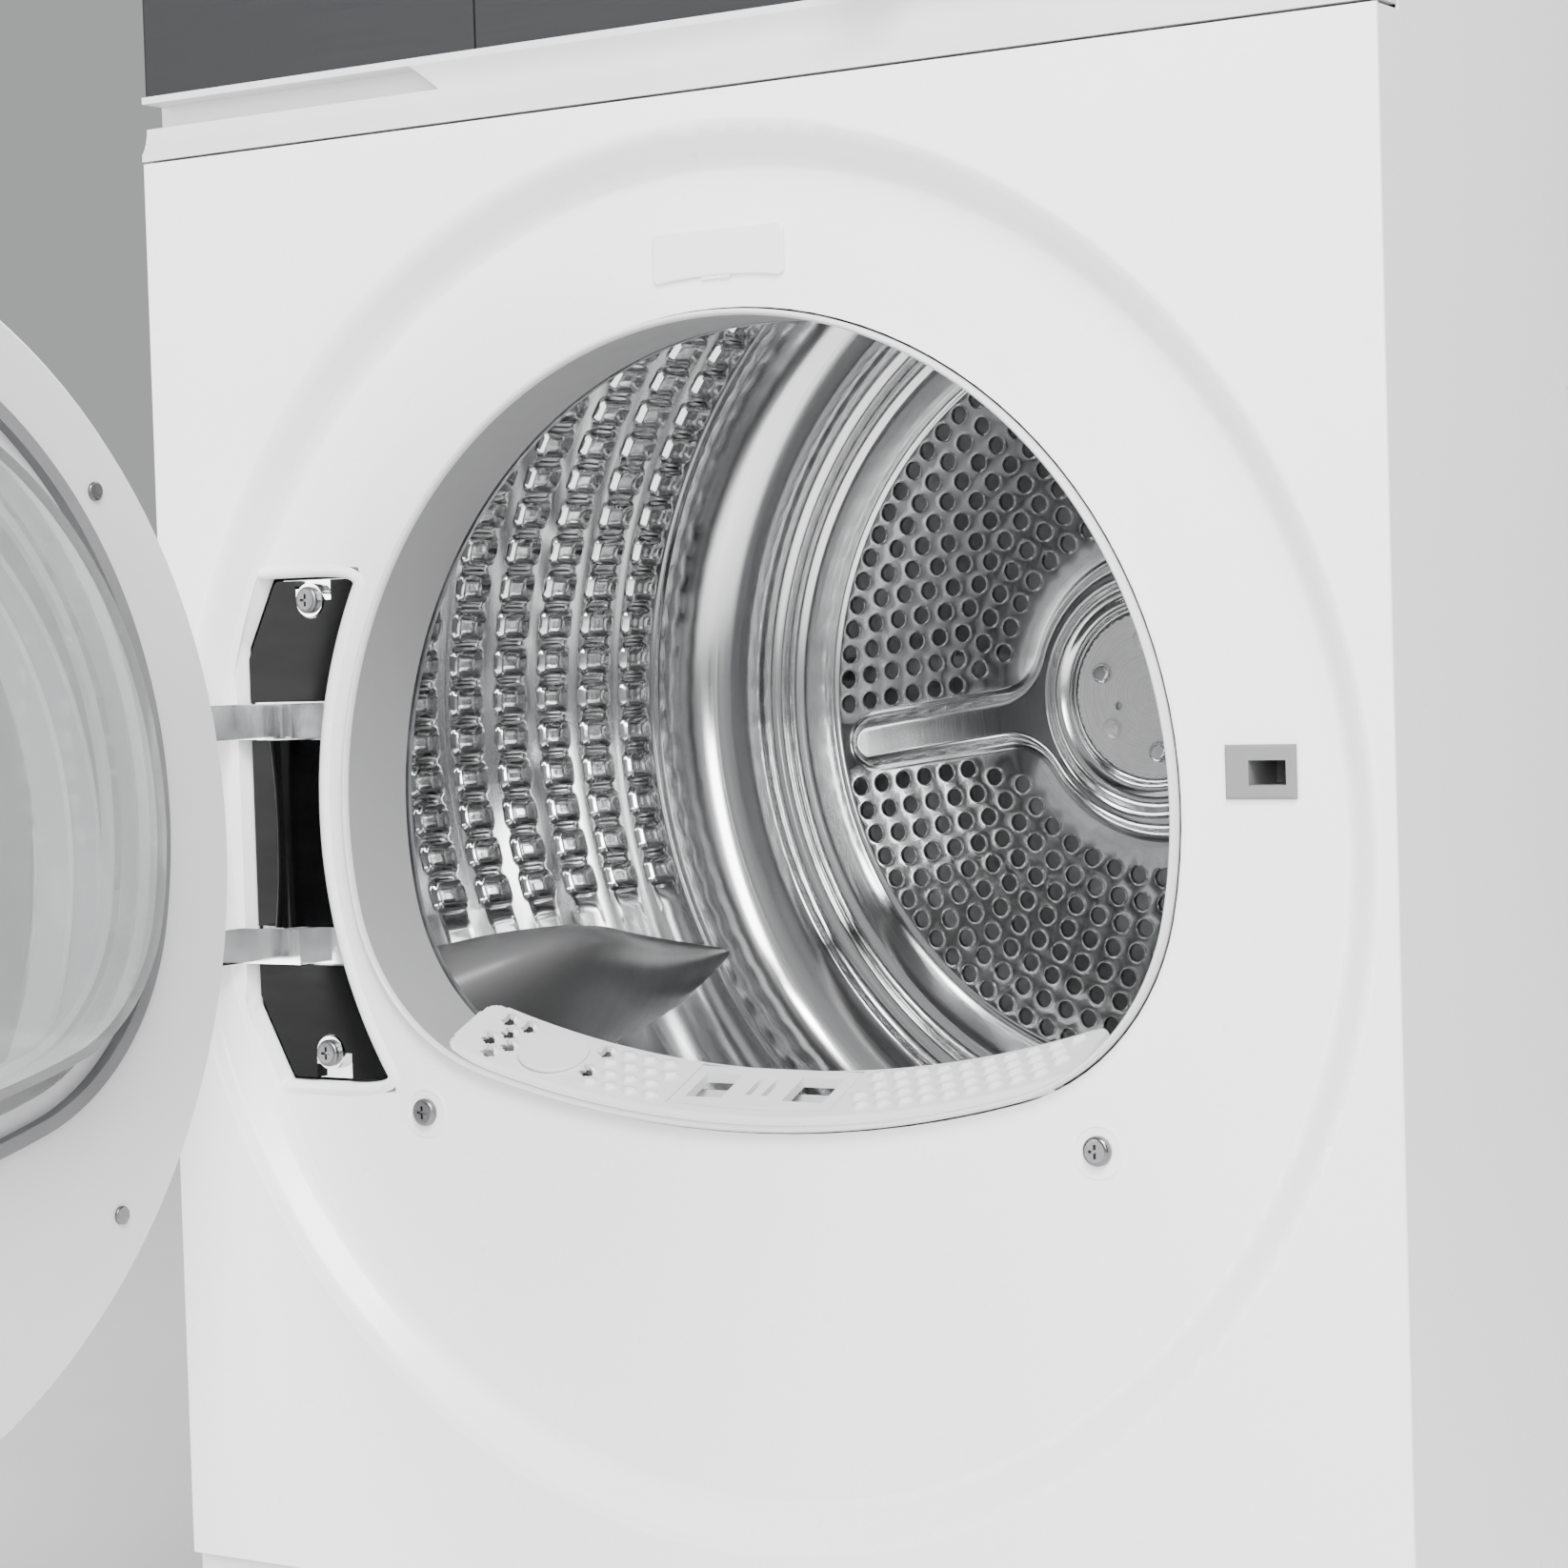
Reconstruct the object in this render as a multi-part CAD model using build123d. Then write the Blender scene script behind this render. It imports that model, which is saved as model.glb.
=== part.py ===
from build123d import *
import math
import os

os.makedirs("parts", exist_ok=True)

# Frame: X to the right seen from the front, Y into the machine, Z up, mm.
# The origin is on the floor, in the middle of the four feet.

# Cabinet
CAB_W = 596.0
CAB_H = 845.0
CAB_D = 540.0
FRONT = -CAB_D / 2
BACK = CAB_D / 2
SHEET = 1.2
HALF_W = CAB_W / 2
PANEL_BOTTOM = 112.0
PANEL_TOP = 740.0
STRIP_TOP = 770.0
FASCIA_TOP = 822.0
TRAY_TOP = 60.0
TRAY_FLOOR = 22.0

# Round dish pressed in the front panel
DISH_Z = 437.0
DISH_R_OUT = 292.0
DISH_R_FLOOR = 272.0
DISH_DEPTH = 14.0
DISH_ANGLE = math.radians(50.0)
PANEL_T = 1.5
FLOOR_Y = FRONT + DISH_DEPTH

# Door opening and tunnel
OPEN_Z = 449.2
OPEN_R = 201.4
OPEN_FLOOR = -129.6
OPEN_FLOOR_R = 495.6
OPEN_CORNER = 92.6
TUNNEL_BACK = FRONT + 52.0
BULKHEAD_Y = FRONT + 54.0

# Drum
DRUM_Z = 485.6
DRUM_R = 285.0
DRUM_T = 1.0
DRUM_FRONT = FRONT + 60.0
DRUM_SEAM = FRONT + 373.0
DISC_R = 193.0
DISC_Y = FRONT + 404.0
HUB_R = 54.0
HUB_RISE = 12.0
RIB_RISE = 8.0
RIB_HALF = 13.5
RIB_TIP = 170.0
STAR_R = 72.0
HOLE_R = 4.3
HOLE_PITCH = 13.1
HOLE_RINGS = 8
SPOKE_ANGLE = 187.5
PADDLE_ANGLE = 208.5
RIM = 3.0
RIM_PROUD = 4.6
SHAFT_R = 12.5
RUN_GAP = 0.05

# Drive
BELT_Y = FRONT + 190.0
BELT_W = 10.0
BELT_T = 1.6
BELT_GAP = 0.4
MOTOR_X = 205.0
MOTOR_Z = 140.0
PULLEY_R = 8.0
IDLER_X = 105.0
IDLER_Z = 166.0
IDLER_R = 20.0
ARM_PIVOT = (MOTOR_X - 82.0, 92.0)
ROLLER_R = 30.0
ROLLER_W = 16.0
ROLLER_ANGLE = math.radians(35.0)
ROLLER_Y = FRONT + 76.0
REAR_PLATE_Y = FRONT + 420.0
FAN_Y = REAR_PLATE_Y + 8.0
FAN_W = 48.0
FAN_R = 62.0

# Hinge and door; the door is built shut and then turned to where it rests
HINGE_X = -264.0
HINGE_Y = FRONT - 20.0
HINGE_ARM_Z = (OPEN_Z + 39.5, OPEN_Z - 61.0)
ARM_H = 15.7
PIN_R = 3.0
KNUCKLE_R = 6.5
DOOR_R = 258.0
DOOR_RING_IN = 172.0
DOOR_FRONT = FRONT - 34.0
DOOR_BACK = FRONT + 8.0
DOOR_REST = 90.0

# Water tank drawer, controls and lint filter
DRAWER_EDGE = -110.0
TANK_BACK = BACK - 60.0
KNOB_X = 95.0
KNOB_Z = 797.0
POWER_X = -62.0
START_X = 205.0
FILTER_X = (-42.0, 38.0)
FILTER_Y = (FRONT + 21.0, FRONT + 49.0)
GRILLE_RISE = 15.0
LOCK_X = (224.0, 253.0)
LOCK_Z = (OPEN_Z + 3.7, OPEN_Z + 24.3)
SLOT_X = (234.0, 249.3)
SLOT_Z = (OPEN_Z + 9.5, OPEN_Z + 18.4)
FLAP_PIVOT_D = 11.3
FLAP_PIVOT_Z = 37.5
FOOT_X = 250.0
FOOT_Y = 220.0
FOOT_R = 22.0


def block(x0, x1, y0, y1, z0, z1):
    solid = Box(x1 - x0, y1 - y0, z1 - z0)
    return Pos((x0 + x1) / 2, (y0 + y1) / 2, (z0 + z1) / 2) * solid


def rod_y(x, z, r, y0, y1):
    return Pos(x, (y0 + y1) / 2, z) * Rot(90, 0, 0) * Cylinder(r, y1 - y0)


def rod_z(x, y, r, z0, z1):
    return Pos(x, y, (z0 + z1) / 2) * Cylinder(r, z1 - z0)


def rod_x(y, z, r, x0, x1):
    return Pos((x0 + x1) / 2, y, z) * Rot(0, 90, 0) * Cylinder(r, x1 - x0)


def ring_y(x, z, r_out, r_in, y0, y1):
    return rod_y(x, z, r_out, y0, y1) - rod_y(x, z, r_in, y0 - 1, y1 + 1)


def upright(y):
    return Plane(origin=(0, y, 0), x_dir=(1, 0, 0), z_dir=(0, -1, 0))


def prism_y(face, y0, y1, taper=0.0):
    """A drawing in X and Z made solid from y0 to y1; a taper narrows it towards y0."""
    return extrude(upright(y1) * face, y1 - y0, taper=taper)


def turned(points, z):
    """A closed outline of (radius, y) points turned about the level axis at height z."""
    outline = Polyline(*[(r, y, z) for r, y in points], close=True)
    return revolve(make_face(outline), Axis((0, 0, z), (0, 1, 0)), 360)


def save(shape, name):
    export_step(shape, "parts/" + name + ".step")


def polar(r, degrees):
    return r * math.cos(math.radians(degrees)), r * math.sin(math.radians(degrees))


def mirrored(shape):
    return mirror(shape, Plane.YZ)


def opening_face(grow):
    """The door opening, a circle with a nearly flat floor, made larger all round by grow."""
    rise = OPEN_FLOOR + OPEN_FLOOR_R
    to_wall, to_floor = OPEN_R - OPEN_CORNER, OPEN_FLOOR_R - OPEN_CORNER
    cz = (to_wall ** 2 - to_floor ** 2 + rise ** 2) / (2 * rise)
    cx = math.sqrt(to_wall ** 2 - cz ** 2)
    wall = Vector(cx, cz).normalized()
    floor = Vector(cx, cz - rise).normalized()
    middle = (wall + floor).normalized()
    corner = OPEN_CORNER + grow

    def at(direction):
        return cx + corner * direction.X, OPEN_Z + cz + corner * direction.Y

    right = [at(wall), at(middle), at(floor)]
    left = [(-x, z) for x, z in right]
    edges = [
        ThreePointArc(left[0], (0, OPEN_Z + OPEN_R + grow), right[0]),
        ThreePointArc(right[0], right[1], right[2]),
        ThreePointArc(right[2], (0, OPEN_Z + OPEN_FLOOR - grow), left[2]),
        ThreePointArc(left[2], left[1], left[0]),
    ]
    return make_face(Wire(edges))


def pocket_face(grow):
    """The hinge pocket: its right side follows the opening, its left side is a blunt point."""
    inner = OPEN_R + 18.6 - grow
    top, bottom = 103.0 + grow, -121.0 - grow
    left = -262.0 - grow
    start = (-math.sqrt(inner ** 2 - top ** 2), OPEN_Z + top)
    end = (-math.sqrt(inner ** 2 - bottom ** 2), OPEN_Z + bottom)
    straight = Polyline(
        start,
        (-245.0 - grow, OPEN_Z + top),
        (left, OPEN_Z + top - 34.0),
        (left, OPEN_Z + bottom + 36.0),
        (-243.0 - grow, OPEN_Z + bottom),
        end,
    )
    side = ThreePointArc(end, (-inner, OPEN_Z), start)
    face = make_face(Wire(straight.edges() + [side]))
    return fillet(face.vertices(), 4.0)


# ---- cabinet ----

def base_tray():
    wall = 3.0
    x, y0, y1 = 292.0, FRONT + 16.0, BACK - 8.0
    tray = block(-x, x, y0, y1, TRAY_FLOOR, TRAY_TOP)
    tray -= block(-x + wall, x - wall, y0 + wall, y1 - wall, TRAY_FLOOR + wall, TRAY_TOP + 1)
    access = block(-246, -94, y0 - 1, y0 + wall + 1, 38, TRAY_TOP + 1)
    tray -= access
    for rib_y in (-60.0, 75.0):
        tray += block(-90, 90, rib_y, rib_y + wall, TRAY_FLOOR + wall, 45)
    for sx in (-1, 1):
        for sy in (-1, 1):
            tray -= rod_z(sx * FOOT_X, sy * FOOT_Y, 5.2, TRAY_FLOOR - 1, TRAY_FLOOR + wall + 1)
    return tray + arm_post()


def side_panel():
    low, high = 24.0, FASCIA_TOP
    skin = block(HALF_W - SHEET, HALF_W, FRONT + PANEL_T, BACK - 1, low, high)
    skin += block(293.5, HALF_W - SHEET, FRONT + PANEL_T, FRONT + PANEL_T + SHEET, low, high)
    skin += block(276, HALF_W - SHEET, BACK - 1 - SHEET, BACK - 1, low, high)
    skin -= block(250, 300, FRONT, FRONT + 20, PANEL_TOP - 0.5, high + 1)
    skin -= block(250, 300, FRONT, FRONT + 14.5, 0, PANEL_BOTTOM)
    for row in range(3):
        z = 300 + 150 * row
        skin -= block(HALF_W - 0.5, HALF_W + 1, -90, 120, z, z + 10)
    return skin


def worktop():
    top = block(-HALF_W, HALF_W, FRONT, BACK, FASCIA_TOP + 0.5, CAB_H)
    top = fillet(top.edges().filter_by(Axis.Z), 6.0)
    top = fillet(top.faces().sort_by(Axis.Z)[-1].edges(), 3.0)
    return top


def rear_panel():
    panel = block(-290, 290, BACK - 1, BACK, 30, FASCIA_TOP)
    for column in range(9):
        for row in range(5):
            x, z = 120 + 14 * column, 330 + 12 * row
            panel -= block(x, x + 9, BACK - 2, BACK + 1, z, z + 3.5)
    panel -= rod_y(240, 90, 12.0, BACK - 3, BACK + 1)
    panel -= rod_y(-240, 700, 11.0, BACK - 3, BACK + 1)
    return panel


def dish_curve(shift):
    """Front line of the pressed slope, as (radius, y): arc, straight, arc; shift moves it back."""
    width = DISH_R_OUT - DISH_R_FLOOR
    c, s = math.cos(DISH_ANGLE), math.sin(DISH_ANGLE)
    bend = (width * s - DISH_DEPTH * c) / (2 * s * s - 2 * (1 - c) * c)
    half = DISH_ANGLE / 2
    y = FRONT + shift

    def outer(a):
        return (DISH_R_OUT - bend * math.sin(a), y + bend * (1 - math.cos(a)))

    def inner(a):
        return (DISH_R_FLOOR + bend * math.sin(a), y + DISH_DEPTH - bend * (1 - math.cos(a)))

    return [outer(0), outer(half), outer(DISH_ANGLE), inner(DISH_ANGLE), inner(half), inner(0)]


def dish_wall():
    def lift(point):
        return (point[0], point[1], DISH_Z)

    front = [lift(p) for p in dish_curve(0)]
    rear = [lift(p) for p in dish_curve(PANEL_T)]
    edges = [
        ThreePointArc(front[0], front[1], front[2]),
        Line(front[2], front[3]),
        ThreePointArc(front[3], front[4], front[5]),
        Line(front[5], rear[5]),
        ThreePointArc(rear[5], rear[4], rear[3]),
        Line(rear[3], rear[2]),
        ThreePointArc(rear[2], rear[1], rear[0]),
        Line(rear[0], front[0]),
    ]
    return revolve(make_face(Wire(edges)), Axis((0, 0, DISH_Z), (0, 1, 0)), 360)


def front_panel():
    plate = block(-HALF_W, HALF_W, FRONT, FRONT + PANEL_T, PANEL_BOTTOM, PANEL_TOP)
    edges = plate.edges().filter_by(Axis.Z).group_by(Axis.Y)[0]
    plate = fillet(edges, 1.2)
    plate -= rod_y(0, DISH_Z, DISH_R_OUT, FRONT - 1, FRONT + 3)
    floor = rod_y(0, DISH_Z, DISH_R_FLOOR, FLOOR_Y, FLOOR_Y + PANEL_T)
    panel = plate + dish_wall() + floor
    panel -= prism_y(opening_face(RIM + 0.4), FLOOR_Y - 1, FLOOR_Y + 3)
    lip, depth = 4.0, 6.0
    slope = math.degrees(math.atan2(lip, depth))
    tray = extrude(upright(FLOOR_Y) * pocket_face(lip + PANEL_T), -depth, taper=slope)
    hollow = extrude(upright(FLOOR_Y - 0.5) * pocket_face(lip), -depth - 1, taper=slope * 0.9)
    panel -= prism_y(pocket_face(lip), FLOOR_Y - 1, FLOOR_Y + 3)
    panel += tray - hollow
    panel -= block(LOCK_X[0] + 3, LOCK_X[1] - 3, FLOOR_Y - 2, FLOOR_Y + 4, LOCK_Z[0] + 3, LOCK_Z[1] - 3)
    for x in (-165.2, 165.2):
        panel -= rod_y(x, OPEN_Z - 132, 2.2, FLOOR_Y - 1, FLOOR_Y + 3)
        panel += ring_y(x, OPEN_Z - 132, 11.0, 9.5, FLOOR_Y - 0.4, FLOOR_Y)
    return panel


def control_strip():
    """Pale strip under the dark panel: a shallow hollow curve with a lip at its top."""
    y = FRONT
    outline = [
        Line((y, PANEL_TOP + 1.2), (y, PANEL_TOP + 4)),
        ThreePointArc((y, PANEL_TOP + 4), (y + 3.6, PANEL_TOP + 14), (y + 1.0, STRIP_TOP - 3)),
        Line((y + 1.0, STRIP_TOP - 3), (y + 1.0, STRIP_TOP)),
        Line((y + 1.0, STRIP_TOP), (y + 18, STRIP_TOP)),
        Line((y + 18, STRIP_TOP), (y + 18, PANEL_TOP + 1.2)),
        Line((y + 18, PANEL_TOP + 1.2), (y, PANEL_TOP + 1.2)),
    ]
    side = Plane(origin=(-HALF_W, 0, 0), x_dir=(0, 1, 0), z_dir=(1, 0, 0))
    strip = extrude(side * make_face(Wire(outline)), CAB_W)
    grip = Polyline(
        (-HALF_W - 1, PANEL_TOP + 16),
        (-131, PANEL_TOP + 16),
        (-145, PANEL_TOP + 27),
        (-HALF_W - 1, PANEL_TOP + 27),
        close=True,
    )
    strip -= prism_y(make_face(grip), FRONT - 1, FRONT + 14)
    return strip


def control_fascia():
    y0, y1 = FRONT + 2.5, FRONT + 14
    panel = block(DRAWER_EDGE + 0.5, HALF_W, y0, y1, STRIP_TOP + 0.4, FASCIA_TOP)
    panel = fillet(panel.edges().filter_by(Axis.Z).sort_by(Axis.X)[-1], 2.0)
    panel -= rod_y(KNOB_X, KNOB_Z, 5.1, y0 - 1, y1 + 1)
    panel -= block(POWER_X - 9.2, POWER_X + 9.2, y0 - 1, y1 + 1, KNOB_Z - 9.2, KNOB_Z + 9.2)
    panel -= block(START_X - 16.2, START_X + 16.2, y0 - 1, y1 + 1, KNOB_Z - 9.2, KNOB_Z + 9.2)
    return panel


def plinth_panel():
    panel = block(-HALF_W, HALF_W, FRONT + 6, FRONT + 14, 24, PANEL_BOTTOM - 0.8)
    panel -= block(-HALF_W + 3, HALF_W - 3, FRONT + 8.5, FRONT + 15, 27, PANEL_BOTTOM - 4)
    panel -= block(-250, -90, FRONT, FRONT + 20, 32, 104)
    return panel


def service_flap():
    flap = block(-249.3, -90.7, FRONT + 6, FRONT + 8.5, 35, 103.3)
    flap += rod_x(FRONT + FLAP_PIVOT_D, FLAP_PIVOT_Z, 2.3, -254, -86)
    for x in (-240, -110):
        flap += block(x, x + 10, FRONT + 8.5, FRONT + FLAP_PIVOT_D, 36, 39)
    flap -= block(-190, -150, FRONT + 5, FRONT + 9, 96, 104)
    return flap


def front_bulkhead():
    y = BULKHEAD_Y
    plate = block(-291, 291, y, y + 2, 90, 738)
    plate -= prism_y(opening_face(0.0), y - 1, y + 3)
    x0, x1 = FILTER_X[0] - 5, FILTER_X[1] + 5
    duct = block(x0, x1, FRONT + 18.2, y, 60.5, OPEN_Z + OPEN_FLOOR - RIM - 0.5)
    duct -= block(x0 + 2, x1 - 2, FRONT + 20.2, y - 2, 59, OPEN_Z + OPEN_FLOOR)
    duct -= block(x0 - 1, x0 + 3, FRONT + 22, y - 4, 66, 150)
    for sx in (-1, 1):
        reach = DRUM_R + DRUM_T + ROLLER_R + 0.4
        x, z = sx * reach * math.sin(ROLLER_ANGLE), DRUM_Z - reach * math.cos(ROLLER_ANGLE)
        plate += rod_y(x, z, 14.0, y + 2, ROLLER_Y - ROLLER_W / 2 - 1)
        plate += rod_y(x, z, 5.0, y, ROLLER_Y + ROLLER_W / 2 + 3)
    return Compound(children=[plate, duct])


def tunnel_bezel():
    face = opening_face(RIM) - opening_face(0.0)
    tunnel = prism_y(face, FLOOR_Y - RIM_PROUD, TUNNEL_BACK)
    tunnel += prism_y(opening_face(14.0) - opening_face(1.0), FLOOR_Y + 1.8, FLOOR_Y + 4.0)
    tunnel -= prism_y(pocket_face(8.0), FLOOR_Y, FLOOR_Y + 6)
    slot = block(FILTER_X[0] - 0.5, FILTER_X[1] + 0.5, FILTER_Y[0] - 0.5, FILTER_Y[1] + 0.5,
                 OPEN_Z + OPEN_FLOOR - 6, OPEN_Z + OPEN_FLOOR + 8)
    tunnel -= slot
    return tunnel


def drum_felt_seals():
    front = ring_y(0, DRUM_Z, DRUM_R + 0.5, DRUM_R - 12, BULKHEAD_Y + 2, DRUM_FRONT - 0.5)
    rear = ring_y(0, DRUM_Z, 226, 208, DISC_Y + 2.2, REAR_PLATE_Y)
    return Compound(children=[front, rear])


def grille_band(low, high):
    """A strip that lies on the tunnel floor and rises towards the back."""
    band = opening_face(-low) - opening_face(-high)
    band &= Pos(0, OPEN_Z - 140) * Rectangle(324, 90)
    run = TUNNEL_BACK - FLOOR_Y - 3
    length = math.hypot(run, GRILLE_RISE)
    plane = upright(FLOOR_Y + 2)
    return extrude(plane * band, length, dir=(0, run / length, GRILLE_RISE / length))


def floor_height(x):
    return OPEN_Z + OPEN_FLOOR + OPEN_FLOOR_R - math.sqrt(OPEN_FLOOR_R ** 2 - x * x)


def outlet_grille():
    band = grille_band(0.3, 3.3)
    slot = block(FILTER_X[0] - 0.5, FILTER_X[1] + 0.5, FILTER_Y[0] - 0.5, FILTER_Y[1] + 0.5,
                 OPEN_Z - 150, OPEN_Z - 90)
    band -= slot
    holes = []
    for row in range(4):
        for column in range(24):
            x = -143 + 12 * column + 6 * (row % 2)
            y = FLOOR_Y + 7 + 8 * row
            if -131 < x < -85 or FILTER_X[0] - 6 < x < FILTER_X[1] + 6 or abs(x) > 135:
                continue
            z = floor_height(x)
            holes.append(block(x - 2.5, x + 2.5, y - 1.5, y + 1.5, z - 10, z + 26))
    return band - holes


def cap_spot():
    """Middle of the round cap, on the upper side of the sloping grille."""
    x, y = -109.0, FLOOR_Y + 19.0
    run = TUNNEL_BACK - FLOOR_Y - 3
    return x, y, floor_height(x) + 3.3 + GRILLE_RISE * (y - FLOOR_Y - 2) / run


def grille_cap():
    x, y, z = cap_spot()
    run = TUNNEL_BACK - FLOOR_Y - 3
    tilt = math.degrees(math.atan2(GRILLE_RISE, run))
    lean = math.degrees(math.asin(x / OPEN_FLOOR_R))
    cap = Cylinder(15.5, 1.4, align=(Align.CENTER, Align.CENTER, Align.MIN))
    cap = fillet(cap.faces().sort_by(Axis.Z)[-1].edges(), 0.5)
    return Pos(x, y, z + 0.7) * Rot(tilt, 0, 0) * Rot(0, -lean, 0) * cap


def blanking_cover():
    y0 = FLOOR_Y - 1.6
    face = Pos(2, OPEN_Z + 222) * Rectangle(64, 30) - Pos(0, OPEN_Z) * Circle(OPEN_R + 16.4)
    face = fillet(face.vertices(), 3.0)
    cover = prism_y(face, y0, FLOOR_Y - 0.01)
    cover = fillet(cover.faces().sort_by(Axis.Y)[0].edges(), 0.8)
    return cover + block(-6, 8, y0 + 0.4, FLOOR_Y - 0.01, OPEN_Z + 216.6, OPEN_Z + 220)


def door_lock_housing():
    shell = block(LOCK_X[0], LOCK_X[1], FLOOR_Y - 2, FLOOR_Y, LOCK_Z[0], LOCK_Z[1])
    shell = fillet(shell.faces().sort_by(Axis.Y)[0].edges(), 1.2)
    shell += block(LOCK_X[0] + 3.2, LOCK_X[1] - 3.2, FLOOR_Y, FLOOR_Y + 26, LOCK_Z[0] + 3.2, LOCK_Z[1] - 3.2)
    shell -= block(SLOT_X[0], SLOT_X[1], FLOOR_Y - 3, FLOOR_Y + 23, SLOT_Z[0] - 0.5, SLOT_Z[1])
    shell -= block(SLOT_X[1] - 1, LOCK_X[1] - 3, FLOOR_Y + 3.7, FLOOR_Y + 16.3, SLOT_Z[0], SLOT_Z[1])
    return shell


def latch_catch():
    """Sprung bolt at the right of the lock slot, sloped so that the hook pushes it back."""
    x0, x1 = SLOT_X[1] - 5.5, SLOT_X[1] - 0.3
    z0, z1 = SLOT_Z[0] + 0.8, SLOT_Z[1] - 1.0
    outline = Polyline((x0, FLOOR_Y + 9), (x1, FLOOR_Y + 4), (x1, FLOOR_Y + 16), (x0, FLOOR_Y + 16), close=True)
    return extrude(Plane.XY.offset(z0) * make_face(outline), z1 - z0)


def hinge_bracket():
    """Bent steel: a tab and two arms that carry the pivot in front of the dish."""
    plate = prism_y(pocket_face(-1.0), FLOOR_Y + 7.0, FLOOR_Y + 8.5)
    for z in HINGE_ARM_Z:
        z0, z1 = z - ARM_H / 2, z + ARM_H / 2
        plate += block(-233, -230.5, FLOOR_Y - 4, FLOOR_Y + 8, z0, z1)
        plate += block(HINGE_X - 3, -230.5, FLOOR_Y - 4, FLOOR_Y - 1.2, z0, z1)
        plate += block(HINGE_X - 3, HINGE_X - 0.4, HINGE_Y + 3, FLOOR_Y - 1.2, z0, z1)
        plate += rod_z(HINGE_X, HINGE_Y, KNUCKLE_R, z0, z1)
    plate += rod_z(HINGE_X, HINGE_Y, PIN_R, HINGE_ARM_Z[1], HINGE_ARM_Z[0])
    for z, x, s in ((OPEN_Z + 93, -224, 1), (OPEN_Z - 108.5, -221, -1)):
        plate += rod_y(x, z, 7.5, FLOOR_Y + 3.0, FLOOR_Y + 8)
        plate += block(x - 7.5, x + 5.5, FLOOR_Y + 3.0, FLOOR_Y + 8, min(z, z + 5 * s), max(z, z + 5 * s))
        plate -= rod_y(x, z, 2.2, FLOOR_Y, FLOOR_Y + 12)
    return plate


def hinge_covers():
    """Black mouldings over the bracket: one above, one below and a waisted one between the arms."""
    face = pocket_face(-1.2)
    y0, y1 = FLOOR_Y + 3.5, FLOOR_Y + 6.9
    skin = prism_y(face, y0, y1)
    pieces = []
    top, bottom = HINGE_ARM_Z
    gap = ARM_H / 2 + 0.6
    spans = ((top + gap, OPEN_Z + 110), (bottom + gap, top - gap), (OPEN_Z - 130, bottom - gap))
    for low, high in spans:
        piece = skin & block(-270, -190, y0 - 1, y1 + 1, low, high)
        for z, x, s in ((OPEN_Z + 93, -224, 1), (OPEN_Z - 108.5, -221, -1)):
            piece -= rod_y(x, z, 8.2, y0 - 1, y1 + 1)
            far = z + 12 * s
            piece -= block(x - 8.2, x + 12, y0 - 1, y1 + 1, min(z, far), max(z, far))
        pieces.append(piece)
    middle = (top + bottom) / 2
    half = (top - bottom) / 2 - gap
    waist = turned_z(
        [(0, middle - half), (6.5, middle - half), (4.2, middle), (6.5, middle + half), (0, middle + half)],
        -242, FLOOR_Y + 3.0)
    pieces[1] += waist & block(-260, -220, FLOOR_Y - 10, y1, OPEN_Z - 100, OPEN_Z + 100)
    return Compound(children=pieces)


def turned_z(points, x, y):
    """A half outline (radius, z), with its outer side smoothed, turned about an upright axis."""
    first, last = points[0], points[-1]
    rim = [(x + r, y, z) for r, z in points[1:-1]]
    edges = [
        Line((x, y, first[1]), rim[0]),
        Spline(*rim),
        Line(rim[-1], (x, y, last[1])),
        Line((x, y, last[1]), (x, y, first[1])),
    ]
    return revolve(make_face(Wire(edges)), Axis((x, y, 0), (0, 0, 1)), 360)


def pan_screw(x, z, y_seat, r=6.0):
    """Pan head screw driven along Y with its head towards the front."""
    head = rod_y(x, z, r, y_seat - 3.0, y_seat)
    head = fillet(head.faces().sort_by(Axis.Y)[0].edges(), 1.8)
    head += rod_y(x, z, 2.0, y_seat, y_seat + 9)
    head -= block(x - 2.8, x + 2.8, y_seat - 3.5, y_seat - 1.6, z - 0.6, z + 0.6)
    head -= block(x - 0.6, x + 0.6, y_seat - 3.5, y_seat - 1.6, z - 2.8, z + 2.8)
    return head


def panel_screws():
    screws = [pan_screw(x, OPEN_Z - 132, FLOOR_Y - 0.05) for x in (-165.2, 165.2)]
    for x, z in ((-224, OPEN_Z + 93), (-221, OPEN_Z - 108.5)):
        screws.append(pan_screw(x, z, FLOOR_Y + 2.95))
    return Compound(children=screws)


# ---- rear, air path and heat pump ----

def rear_bulkhead():
    y = REAR_PLATE_Y
    plate = block(-291, 291, y, y + 1.5, 246, 815)
    plate -= rod_y(0, DRUM_Z, 205, y - 1, y + 3)
    plate += block(-291, -285, y, BACK - 2.4, 246, 815)
    plate += block(285, 291, y, BACK - 2.4, 246, 815)
    plate -= block(-292, -104, y - 1, BACK, 764, 816)
    return plate + bearing_bridge()


def duct_face(grow):
    round_part = Pos(0, DRUM_Z) * Circle(212 + grow)
    neck = Polyline((85 - grow, 246 - grow), (275 + grow, 246 - grow), (225 + grow, 480), (60, 480), close=True)
    return round_part + make_face(neck)


def rear_air_duct():
    y0, y1 = REAR_PLATE_Y + 1.5, REAR_PLATE_Y + 66
    duct = prism_y(duct_face(2.5), y0, y1)
    duct -= prism_y(duct_face(0), y0 - 1, y1 - 2.5)
    duct -= block(MOTOR_X - 55, MOTOR_X + 55, FAN_Y, FAN_Y + FAN_W - 4, 230, 260)
    return duct


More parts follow.
